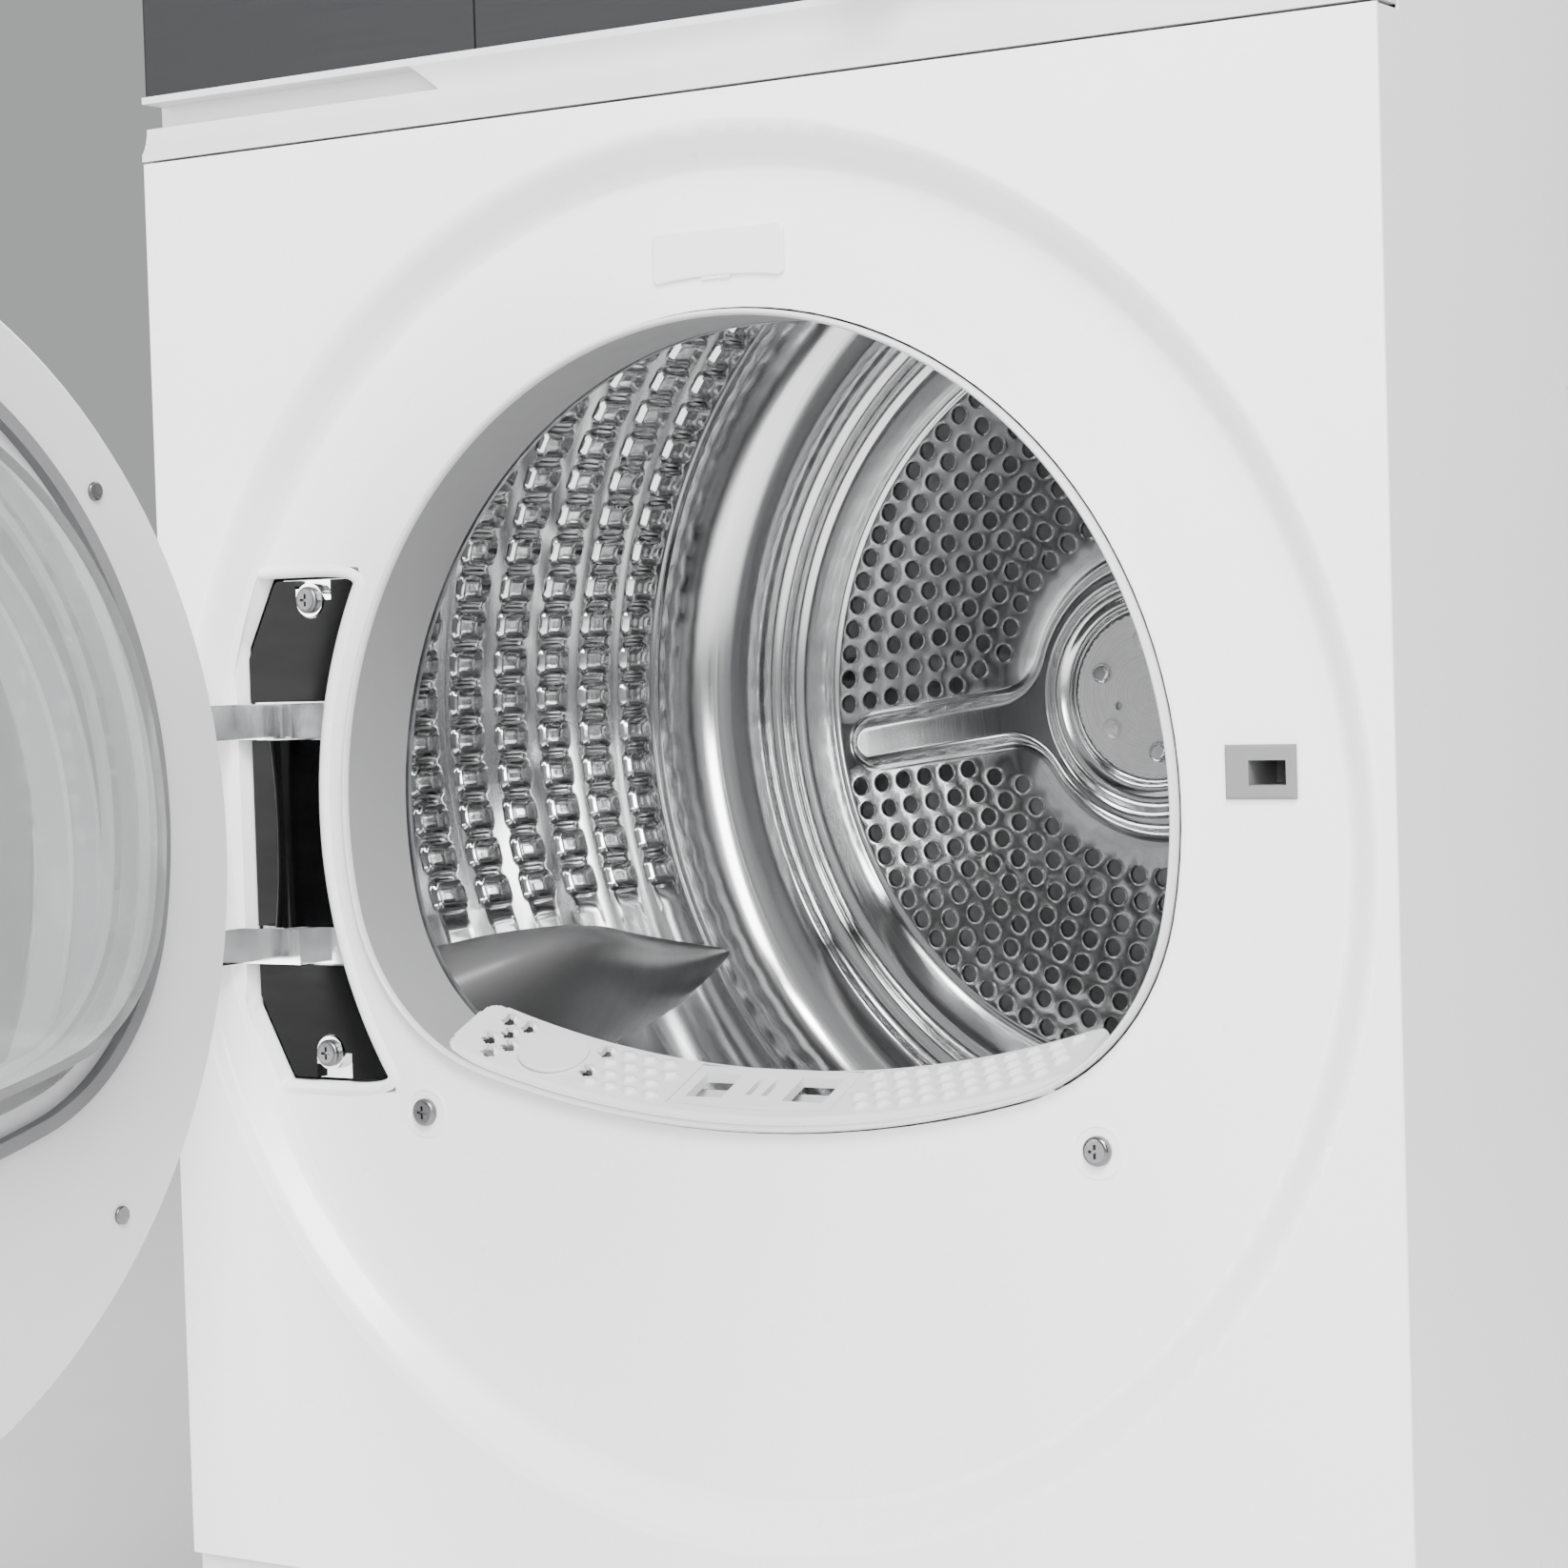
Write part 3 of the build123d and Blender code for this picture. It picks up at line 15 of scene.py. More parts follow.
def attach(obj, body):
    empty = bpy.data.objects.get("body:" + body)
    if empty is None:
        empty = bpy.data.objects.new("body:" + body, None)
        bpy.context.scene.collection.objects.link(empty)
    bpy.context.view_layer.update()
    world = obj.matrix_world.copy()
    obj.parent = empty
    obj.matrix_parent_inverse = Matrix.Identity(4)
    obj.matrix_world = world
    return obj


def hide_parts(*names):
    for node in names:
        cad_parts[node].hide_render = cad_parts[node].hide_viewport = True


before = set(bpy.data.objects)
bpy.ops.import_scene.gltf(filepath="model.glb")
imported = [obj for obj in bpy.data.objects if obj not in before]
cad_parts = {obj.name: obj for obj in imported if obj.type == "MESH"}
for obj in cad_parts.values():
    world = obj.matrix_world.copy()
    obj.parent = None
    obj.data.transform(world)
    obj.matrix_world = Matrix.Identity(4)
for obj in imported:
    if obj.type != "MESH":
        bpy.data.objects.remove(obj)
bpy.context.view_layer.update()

MM = 0.001

# ---- sizes shared with the CAD ----
FRONT = -270.0
FLOOR_Y = FRONT + 14.0
TUNNEL_BACK = FRONT + 52.0
OPEN_Z = 449.2
OPEN_R = 201.4
OPEN_FLOOR = -129.6
OPEN_FLOOR_R = 495.6
OPEN_CORNER = 92.6
RIM = 3.0
DRUM_Z = 485.6
DRUM_R = 285.0
DRUM_FRONT = FRONT + 60.0
DRUM_SEAM = FRONT + 373.0
DISC_Y = FRONT + 404.0
DISC_R = 193.0
SPOKE_ANGLE = 187.5
LIFTER_ANGLE = 209.5
HOLE_PITCH = 13.1
HOLE_RINGS = 8
GRILLE_RISE = 15.0
FILTER_X = (-42.0, 38.0)
FILTER_Y = (FRONT + 21.0, FRONT + 49.0)
CAP_X = -109.0


# ---- mesh helpers ----

def smooth_step(value):
    value = np.clip(value, 0.0, 1.0)
    return value * value * (3.0 - 2.0 * value)


def clean(mesh, sharp_degrees):
    """Merges doubles, turns every face outwards and keeps only real creases sharp."""
    bm = bmesh.new()
    bm.from_mesh(mesh)
    bmesh.ops.remove_doubles(bm, verts=bm.verts, dist=0.00001)
    bmesh.ops.recalc_face_normals(bm, faces=bm.faces)
    bm.to_mesh(mesh)
    bm.free()
    mesh.polygons.foreach_set("use_smooth", [True] * len(mesh.polygons))
    mesh.set_sharp_from_angle(angle=math.radians(sharp_degrees))
    mesh.update()


def new_piece(name, points, faces, material, body, replaces=(), sharp_degrees=38.0):
    """Makes an object from points in millimetres, on a CAD body, with its material slot."""
    mesh = bpy.data.meshes.new(name)
    mesh.from_pydata((np.asarray(points, dtype=float) * MM).tolist(), [], faces)
    clean(mesh, sharp_degrees)
    mesh.materials.append(material)
    piece = bpy.data.objects.new(name, mesh)
    bpy.context.collection.objects.link(piece)
    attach(piece, body)
    if replaces:
        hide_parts(*replaces)
    return piece


def grid_faces(rows, columns, closed_rows=False, closed_columns=False, start=0):
    """Quads over a grid of points stored row by row; a closed side wraps round."""
    faces = []
    for i in range(rows if closed_rows else rows - 1):
        for j in range(columns if closed_columns else columns - 1):
            a = start + i * columns + j
            b = start + i * columns + (j + 1) % columns
            c = start + (i + 1) % rows * columns + (j + 1) % columns
            d = start + (i + 1) % rows * columns + j
            faces.append((a, b, c, d))
    return faces


def around_drum(radius, degrees, y):
    angle = math.radians(degrees)
    return (radius * math.cos(angle), y, DRUM_Z + radius * math.sin(angle))


def opening_outline(grow, steps=160):
    """Points round the door opening, a circle with a nearly flat floor, grown by grow.

    Every outline has the same number of points about the same arc centres, so two of
    them join point by point.
    """
    rise = OPEN_FLOOR + OPEN_FLOOR_R
    to_wall = OPEN_R - OPEN_CORNER
    to_floor = OPEN_FLOOR_R - OPEN_CORNER
    cz = (to_wall ** 2 - to_floor ** 2 + rise ** 2) / (2 * rise)
    cx = math.sqrt(to_wall ** 2 - cz ** 2)
    wall_end = math.atan2(cz, cx)
    floor_end = math.atan2(cz - rise, cx)
    arcs = [
        (0.0, 0.0, OPEN_R + grow, math.pi / 2, wall_end, 0.36),
        (cx, cz, OPEN_CORNER + grow, wall_end, floor_end, 0.07),
        (0.0, rise, OPEN_FLOOR_R + grow, floor_end, -math.pi - floor_end, 0.14),
        (-cx, cz, OPEN_CORNER + grow, -math.pi - floor_end, -math.pi - wall_end, 0.07),
        (0.0, 0.0, OPEN_R + grow, -math.pi - wall_end, -math.pi * 1.5, 0.36),
    ]
    points = []
    for x, z, radius, start, end, share in arcs:
        count = int(steps * share)
        for k in range(count):
            angle = start + (end - start) * k / count
            points.append((x + radius * math.cos(angle), OPEN_Z + z + radius * math.sin(angle)))
    return points


def circle(x, z, radius, count, turn=0.0):
    angles = [turn + 2 * math.pi * k / count for k in range(count)]
    return [(x + radius * math.cos(a), z + radius * math.sin(a)) for a in angles]


# ---- materials ----

class Look:
    """A procedural material: a Principled shader and short ways to feed its sockets."""

    def __init__(self, name, color, roughness, metallic=0.0, **sockets):
        self.material = bpy.data.materials.new(name)
        self.material.use_nodes = True
        self.tree = self.material.node_tree
        self.shader = self.tree.nodes["Principled BSDF"]
        self.color = color
        self.shader.inputs["Base Color"].default_value = (*color, 1.0)
        self.shader.inputs["Roughness"].default_value = roughness
        self.shader.inputs["Metallic"].default_value = metallic
        for socket, value in sockets.items():
            self.shader.inputs[socket.replace("_", " ")].default_value = value

    def node(self, kind, **properties):
        made = self.tree.nodes.new("ShaderNode" + kind)
        for key, value in properties.items():
            setattr(made, key, value)
        return made

    def link(self, source, target):
        self.tree.links.new(source, target)

    def place(self, stretch=(1, 1, 1), centre=(0, 0, 0)):
        """Object coordinates about a centre, stretched to shape the pattern."""
        mapping = self.node("Mapping")
        mapping.inputs["Location"].default_value = [-c * s for c, s in zip(centre, stretch)]
        mapping.inputs["Scale"].default_value = stretch
        self.link(self.node("TexCoord").outputs["Object"], mapping.inputs["Vector"])
        return mapping.outputs["Vector"]

    def polar(self, profile, turning):
        """A pattern in circles about the drum's axis: it changes quickly along the radius
        and the depth, by profile, and slowly round the axis, by turning."""
        split = self.node("SeparateXYZ")
        self.link(self.place(centre=(0, 0, DRUM_Z * MM)), split.inputs[0])
        square = self.math("MULTIPLY", split.outputs["X"], split.outputs["X"])
        square = self.math("MULTIPLY_ADD", split.outputs["Z"], split.outputs["Z"], square)
        radius = self.math("SQRT", square)
        join = self.node("CombineXYZ")
        along = self.math("ADD", radius, split.outputs["Y"])
        self.link(self.math("MULTIPLY", along, profile), join.inputs["X"])
        for side, socket in (("X", "Y"), ("Z", "Z")):
            direction = self.math("DIVIDE", split.outputs[side], radius)
            self.link(self.math("MULTIPLY", direction, turning), join.inputs[socket])
        return join.outputs[0]

    def math(self, operation, *values):
        made = self.node("Math", operation=operation)
        for socket, value in zip(made.inputs, values):
            if isinstance(value, (int, float)):
                socket.default_value = value
            else:
                self.link(value, socket)
        return made.outputs[0]

    def noise(self, vector, scale, detail=3.0, rough=0.55):
        made = self.node("TexNoise")
        made.inputs["Scale"].default_value = scale
        made.inputs["Detail"].default_value = detail
        made.inputs["Roughness"].default_value = rough
        self.link(vector, made.inputs["Vector"])
        return made.outputs["Fac"]

    def remap(self, value, low, high, start=0.3, end=0.7):
        made = self.node("MapRange")
        made.inputs["From Min"].default_value = start
        made.inputs["From Max"].default_value = end
        made.inputs["To Min"].default_value = low
        made.inputs["To Max"].default_value = high
        self.link(value, made.inputs["Value"])
        return made.outputs["Result"]

    def shade(self, value, darkest):
        """Varies the base colour between darkest times itself and itself."""
        mix = self.node("Mix", data_type="RGBA", blend_type="MULTIPLY")
        mix.inputs["Factor"].default_value = 1.0
        mix.inputs[6].default_value = (*self.color, 1.0)
        grey = self.node("CombineColor")
        level = self.remap(value, darkest, 1.0)
        for channel in grey.inputs:
            self.link(level, channel)
        self.link(grey.outputs[0], mix.inputs[7])
        self.link(mix.outputs[2], self.shader.inputs["Base Color"])

    def rough(self, value, low, high):
        self.link(self.remap(value, low, high), self.shader.inputs["Roughness"])

    def bump(self, value, height, strength=1.0):
        made = self.node("Bump")
        made.inputs["Distance"].default_value = height * MM
        made.inputs["Strength"].default_value = strength
        self.link(value, made.inputs["Height"])
        previous = self.shader.inputs["Normal"]
        if previous.is_linked:
            self.link(previous.links[0].from_socket, made.inputs["Normal"])
        self.link(made.outputs["Normal"], previous)


def enamel(name, color):
    """Sprayed gloss enamel: faint orange peel, soft cloudiness and a clear top layer."""
    look = Look(name, color, 0.3, Coat_Weight=0.35, Coat_Roughness=0.12, IOR=1.5)
    clouds = look.noise(look.place(), 7.0)
    look.shade(clouds, 0.975)
    look.rough(look.noise(look.place(), 60.0), 0.26, 0.36)
    look.bump(look.noise(look.place(), 420.0, 2.0), 0.02, 0.5)
    return look.material


def moulded(name, color, roughness, grain=900.0, depth=0.03, darkest=0.95):
    """Moulded plastic with a fine spark-eroded grain."""
    look = Look(name, color, roughness, IOR=1.49)
    look.shade(look.noise(look.place(), 14.0), darkest)
    look.rough(look.noise(look.place(), 90.0), roughness * 0.88, roughness * 1.12)
    look.bump(look.noise(look.place(), grain, 4.0), depth, 0.6)
    return look.material


def gloss_black(name, color=(0.0025, 0.0025, 0.0028)):
    """Polished dark plastic with a few soft smears and fine dust marks."""
    look = Look(name, color, 0.2, IOR=1.4, Specular_IOR_Level=0.14)
    smears = look.noise(look.place((1, 1, 4)), 18.0, 5.0)
    look.shade(smears, 0.7)
    look.rough(smears, 0.12, 0.24)
    look.bump(look.noise(look.place(), 300.0, 2.0), 0.01, 0.4)
    return look.material


def mirror_steel(name):
    """Bright rolled steel of the drum shell: fine rolling lines across a near mirror."""
    look = Look(name, (0.8, 0.803, 0.808), 0.07, 1.0)
    lines = look.noise(look.polar(700.0, 2.0), 1.0, 3.0)
    look.shade(look.noise(look.place(), 9.0, 2.0), 0.93)
    look.rough(lines, 0.06, 0.11)
    look.bump(lines, 0.0005, 0.12)
    return look.material


def pressed_steel(name, color=(0.7, 0.703, 0.707), low=0.09, high=0.19):
    """Spun and pressed steel, brushed in circles about the drum's axis."""
    look = Look(name, color, 0.2, 1.0)
    rings = look.noise(look.polar(1400.0, 1.2), 1.0, 3.0, 0.6)
    bands = look.noise(look.polar(60.0, 0.8), 1.0, 2.0)
    look.shade(bands, 0.9)
    look.rough(rings, low, high)
    look.bump(rings, 0.001, 0.35)
    return look.material


def satin_steel(name):
    """Pale satin face of the hub: fine turned circles and a soft, milky shine."""
    look = Look(name, (0.97, 0.97, 0.97), 0.3, 0.12)
    rings = look.noise(look.polar(900.0, 1.0), 1.0, 3.0, 0.6)
    look.shade(look.noise(look.place(), 30.0, 3.0), 0.95)
    look.rough(rings, 0.22, 0.34)
    look.bump(rings, 0.0006, 0.15)
    return look.material


def sheet_steel(name, color, roughness, spangle=60.0, darkest=0.8):
    """Galvanised sheet with its cloudy zinc spangle."""
    look = Look(name, color, roughness, 1.0)
    flakes = look.node("TexVoronoi")
    flakes.inputs["Scale"].default_value = spangle
    look.link(look.place(), flakes.inputs["Vector"])
    grey = look.node("RGBToBW")
    look.link(flakes.outputs["Color"], grey.inputs[0])
    look.shade(grey.outputs[0], darkest)
    look.rough(look.noise(look.place(), 35.0, 4.0), roughness * 0.8, roughness * 1.25)
    look.bump(look.noise(look.place(), 500.0), 0.02, 0.4)
    return look.material


def plated(name, color=(0.83, 0.835, 0.84), roughness=0.08):
    """Bright plating with slight wear and a slow waviness."""
    look = Look(name, color, roughness, 1.0)
    wear = look.noise(look.place(), 45.0, 5.0)
    look.shade(wear, 0.9)
    look.rough(wear, roughness * 0.6, roughness * 1.9)
    look.bump(look.noise(look.place(), 90.0, 1.0), 0.02, 0.3)
    return look.material


def rubber(name, color, roughness=0.75):
    look = Look(name, color, roughness, IOR=1.45)
    look.shade(look.noise(look.place(), 30.0, 5.0), 0.8)
    look.rough(look.noise(look.place(), 60.0), roughness * 0.9, roughness * 1.1)
    look.bump(look.noise(look.place(), 700.0, 4.0), 0.06, 0.7)
    return look.material


def fibre_felt(name, color):
    """Pressed wool felt: crossed fibres and a soft sheen."""
    look = Look(name, color, 0.95, Sheen_Weight=0.4)
    along = look.noise(look.place((1, 6, 1)), 420.0, 4.0)
    across = look.noise(look.place((5, 1, 5)), 260.0, 4.0)
    look.shade(along, 0.7)
    look.bump(along, 0.3, 0.7)
    look.bump(across, 0.25, 0.6)
    return look.material


def woven_mesh(name, color):
    """Fine woven screen: two sets of threads as crossed waves, with painted shade darkening the openings
    between them.
    """
    look = Look(name, color, 0.6, IOR=1.45)
    threads = look.node("TexWave", bands_direction="X")
    crossed = look.node("TexWave", bands_direction="Z")
    for wave in (threads, crossed):
        wave.inputs["Scale"].default_value = 320.0
        look.link(look.place(), wave.inputs["Vector"])
    weave = look.math("MAXIMUM", threads.outputs["Fac"], crossed.outputs["Fac"])
    # painted shade: the colour falls to about a third in the openings between the threads
    look.shade(weave, 0.35)
    look.bump(weave, 0.12, 0.8)
    return look.material


def finned(name, color):
    """Stacked aluminium fins: thin bright edges, with painted shade darkening the gaps between them."""
    look = Look(name, color, 0.35, 1.0)
    fins = look.node("TexWave", bands_direction="X")
    fins.inputs["Scale"].default_value = 170.0
    look.link(look.place(), fins.inputs["Vector"])
    # painted shade: the colour falls to a quarter in the gaps between the fins
    look.shade(fins.outputs["Fac"], 0.25)
    look.rough(look.noise(look.place(), 80.0), 0.3, 0.45)
    look.bump(fins.outputs["Fac"], 0.4, 0.7)
    return look.material


def tinted_glass(name, color, roughness, darkest):
    look = Look(name, color, roughness, IOR=1.5, Transmission_Weight=0.85)
    look.shade(look.noise(look.place(), 9.0, 3.0), darkest)
    look.rough(look.noise(look.place(), 50.0, 3.0), roughness * 0.5, roughness * 1.5)
    look.bump(look.noise(look.place(), 40.0, 1.0), 0.02, 0.3)
    return look.material


def brushed_dark(name, color, roughness=0.42):
    """Dark satin panel with short level brush strokes."""
    look = Look(name, color, roughness, IOR=1.45, Specular_IOR_Level=0.15)
    strokes = look.noise(look.place((6, 200, 400)), 3.0, 4.0)
    look.shade(strokes, 0.86)
    look.rough(strokes, roughness * 0.85, roughness * 1.2)
    look.bump(strokes, 0.01, 0.5)
    return look.material


# ---- drum shell ----

CELL_DEPTH = 25.0
CELL_WIDTH = 16.4
CELL_RISE = 2.8
CELL_SINK = 3.4
ROW_STEP = 3.83
ROWS = 25
COLUMNS = 8
COLUMN_PITCH = 36.1
LAST_COLUMN = FRONT + 349.1
FIRST_ROW = 197.8
BAR_RISE = 1.3
SHEET = 0.9
PLAIN_STEPS = 14  # mesh columns over each plain stretch under a lifter
SEAM_BEAD = (FRONT + 369.8, 1.1, 1.4)  # its middle, half width and height
SEAM_ROWS = (367.6, 368.6, 369.8, 371.0, 372.0, 373.0)
# mesh lines over one cell, from its middle, and the value for rows that lie in no cell
CELL_ACROSS = (-8.7, -8.1, -7.5, -6.6, -5.2, -3.4, -1.2, 1.2, 3.4, 5.2, 6.6, 7.5, 8.1, 8.7)
CELL_ALONG = (-18.05, -13.6, -12.5, -11.7, -10.7, -9.2, -7.0, -4.4, -1.5)
OFF_CELL = 99.0


def cell_height(along, across):
    """Height of one pressed cell: a raised rounded square with a hollow, shiny middle."""
    edge = ((np.abs(along) / (CELL_DEPTH / 2)) ** 6 + (np.abs(across) / (CELL_WIDTH / 2)) ** 6) ** (1 / 6)
    rim = smooth_step((1.0 - edge) / 0.12)
    bowl = smooth_step((0.84 - edge) / 0.4)
    return CELL_RISE * rim - CELL_SINK * bowl


def drum_shell(material):
    """Embossed inner face of the drum shell, closed by a plain outer face."""
    half_row = math.radians(ROW_STEP) * DRUM_R / 2
    across = [-half_row, *CELL_ACROSS]
    along = [*CELL_ALONG, *[-value for value in reversed(CELL_ALONG)][:-1]]
    angles, offsets, in_rows = [], [], []
    for third in range(3):
        start = FIRST_ROW + 120 * third
        for k in range(ROWS):
            for value in across:
                angles.append(start - ROW_STEP * k + math.degrees(value / DRUM_R))
                offsets.append(value)
                in_rows.append(1.0)
        last = start - ROW_STEP * (ROWS - 0.5)
        gap = 120 - ROW_STEP * ROWS
        for k in range(PLAIN_STEPS):
            angles.append(last - gap * k / PLAIN_STEPS)
            offsets.append(half_row)
            in_rows.append(0.0)
    order = np.argsort(-np.asarray(angles), kind="stable")
    angles = np.asarray(angles)[order]
    offsets = np.asarray(offsets)[order]
    in_rows = np.asarray(in_rows)[order]

    depths = [DRUM_FRONT, DRUM_FRONT + 9.0]
    shifts = [OFF_CELL, OFF_CELL]
    for j in reversed(range(COLUMNS)):
        for value in along:
            depths.append(LAST_COLUMN - COLUMN_PITCH * j + value)
            shifts.append(value)
    for depth in SEAM_ROWS:
        depths.append(FRONT + depth)
        shifts.append(OFF_CELL)
    depths, shifts = np.asarray(depths), np.asarray(shifts)

    cell = cell_height(shifts[:, None], offsets[None, :]) * in_rows[None, :]
    cell[np.abs(shifts) > CELL_DEPTH] = 0.0
    bar_across = smooth_step((1.3 - (half_row - np.abs(offsets))) / 1.0) * in_rows
    bar_along = smooth_step((10.5 - np.abs(shifts)) / 1.5)
    bead_y, bead_width, bead_rise = SEAM_BEAD
    bead = bead_rise * np.exp(-((depths - bead_y) / bead_width) ** 2)
    rise = np.maximum(cell, BAR_RISE * bar_across[None, :] * bar_along[:, None]) + bead[:, None]

    turn = np.radians(angles)[None, :]
    radius = DRUM_R - rise
    inner = np.stack([radius * np.cos(turn), np.broadcast_to(depths[:, None], radius.shape),
                      DRUM_Z + radius * np.sin(turn)], axis=-1)
    rows, columns = radius.shape
    points = inner.reshape(-1, 3).tolist()
    faces = grid_faces(rows, columns, closed_columns=True)
    start = len(points)
    for y in (DRUM_FRONT, DRUM_SEAM):
        for angle in angles:
            points.append(around_drum(DRUM_R + SHEET, angle, y))
    faces += grid_faces(2, columns, closed_columns=True, start=start)
    for j in range(columns):
        k = (j + 1) % columns
        faces.append((j, k, start + k, start + j))
        end = (rows - 1) * columns
        faces.append((end + j, end + k, start + columns + k, start + columns + j))
    return new_piece("drum_shell", points, faces, material, "drum", ["drum_mantle"], 50.0)


# ---- perforated rear wall ----

# radius and depth from the front, from the seam in to the flat disc
RIM_PROFILE = [
    (285.0, 373.2), (284.4, 376.0), (282.6, 380.5), (279.0, 386.0), (273.5, 392.0), (266.0, 397.5),
    (257.0, 401.6), (249.0, 404.0), (243.5, 405.0), (241.4, 404.9), (239.5, 403.8), (237.0, 402.7),
    (234.5, 402.3), (232.0, 402.7), (229.8, 403.9), (228.0, 405.0), (226.2, 405.2), (224.4, 404.2),
    (222.0, 402.3), (219.5, 400.8), (217.0, 400.2), (214.6, 400.8), (212.8, 402.2), (211.0, 402.8),
    (206.0, 403.0), (200.0, 403.2), (195.4, 403.0), (193.6, 402.5), (192.2, 402.7), (191.2, 403.6),
    (190.0, 404.0),
]
STAR_R = 72.0
SPOKE_HALF = 13.5
SPOKE_TIP = 170.0
STAR_FILLET = 27.0
STAR_RISE = 8.0
HUB_FACE = 12.1
HUB_FACE_R = 41.0
DISC_EDGE = 190.0
HOLE_INSET = 9.0
BOLT_RING = 19.0
BOLT_TURN = 9.0
BOLT_HOLE = [(2.2, HUB_FACE), (2.0, HUB_FACE - 1.5)]
DOME_RING = 28.0
DOME_TURN = 30.0
# sections as (growth of the star or radius, height over the disc)
STAR_WALL = [
    (2.7, 0.0), (2.2, -0.2), (1.2, -1.6), (0.2, -0.4), (-0.8, 2.2), (-3.6, 6.4), (-5.0, 7.5), (-6.4, 7.9),
    (-7.5, STAR_RISE), (-8.2, STAR_RISE),
]
HOLE_LIP = [(5.75, 0.0), (5.35, 0.05), (5.0, 1.1), (4.7, 1.3), (4.4, 0.9), (4.15, -1.4)]
DOME_R = 5.6
DOME_RISE = 3.0
DOME_RINGS = (1.12, 1.0, 0.94, 0.8, 0.6, 0.35, 0.12)
HUB_RINGS = [
    (63.0, STAR_RISE), (62.3, STAR_RISE), (60.5, 8.2), (58.6, 9.2), (56.8, 11.0), (54.8, 12.0),
    (52.6, 12.2), (50.6, 11.4), (48.8, 10.2), (47.2, 9.8), (45.4, 10.2), (44.2, 11.4), (43.0, 12.0),
    (41.4, HUB_FACE), (40.6, HUB_FACE),
]


def star_outline(grow):
    """Outline of the pressed star: a round boss with three arms, in points about fixed centres."""
    hub, arm, fillet = STAR_R + grow, SPOKE_HALF + grow, STAR_FILLET - grow
    reach = math.sqrt((STAR_R + STAR_FILLET) ** 2 - (SPOKE_HALF + STAR_FILLET) ** 2)
    side = SPOKE_HALF + STAR_FILLET
    lean = math.atan2(side, reach)
    points = []
    for third in range(3):
        half = [(hub * math.cos(a), hub * math.sin(a)) for a in np.linspace(math.pi / 3, lean, 14)[:-1]]
        for a in np.linspace(lean, math.pi / 2, 10):
            half.append((reach - fillet * math.cos(a), side - fillet * math.sin(a)))
        half += [(x, arm) for x in np.linspace(reach, SPOKE_TIP, 14)[1:-1]]
        half += [(SPOKE_TIP + arm * math.sin(a), arm * math.cos(a))
                 for a in np.linspace(0, math.pi / 2, 10)]
        whole = [(x, -z) for x, z in half[1:]] + [(x, z) for x, z in reversed(half[:-1])]
        turn = math.radians(SPOKE_ANGLE + 120 * third)
        c, s = math.cos(turn), math.sin(turn)
        points += [(x * c - z * s, x * s + z * c) for x, z in whole]
    return points


def hole_spots():
    """Rings of holes; in each third the first and last hole stand beside a spoke."""
    spots = []
    for ring in range(HOLE_RINGS):
        radius = DISC_R - HOLE_INSET - HOLE_PITCH * ring
        flare = 6.0 * max(0, ring - 5)  # the inner rings stand clear of the star's fillets
        edge = math.degrees(math.asin((SPOKE_HALF + 8.5 + flare) / radius))
        arc = 120 - 2 * edge
        count = int(math.radians(arc) * radius / HOLE_PITCH)
        for third in range(3):
            for k in range(count + 1):
                angle = math.radians(SPOKE_ANGLE + 120 * third + edge + arc * k / count)
                spots.append((radius * math.cos(angle), radius * math.sin(angle)))
    return spots


def hub_spots(radius, turn):
    """Three places on a ring of the hub, turned away from the spokes."""
    angles = [math.radians(SPOKE_ANGLE + 120 * k + turn) for k in range(3)]
    return [(radius * math.cos(a), radius * math.sin(a)) for a in angles]


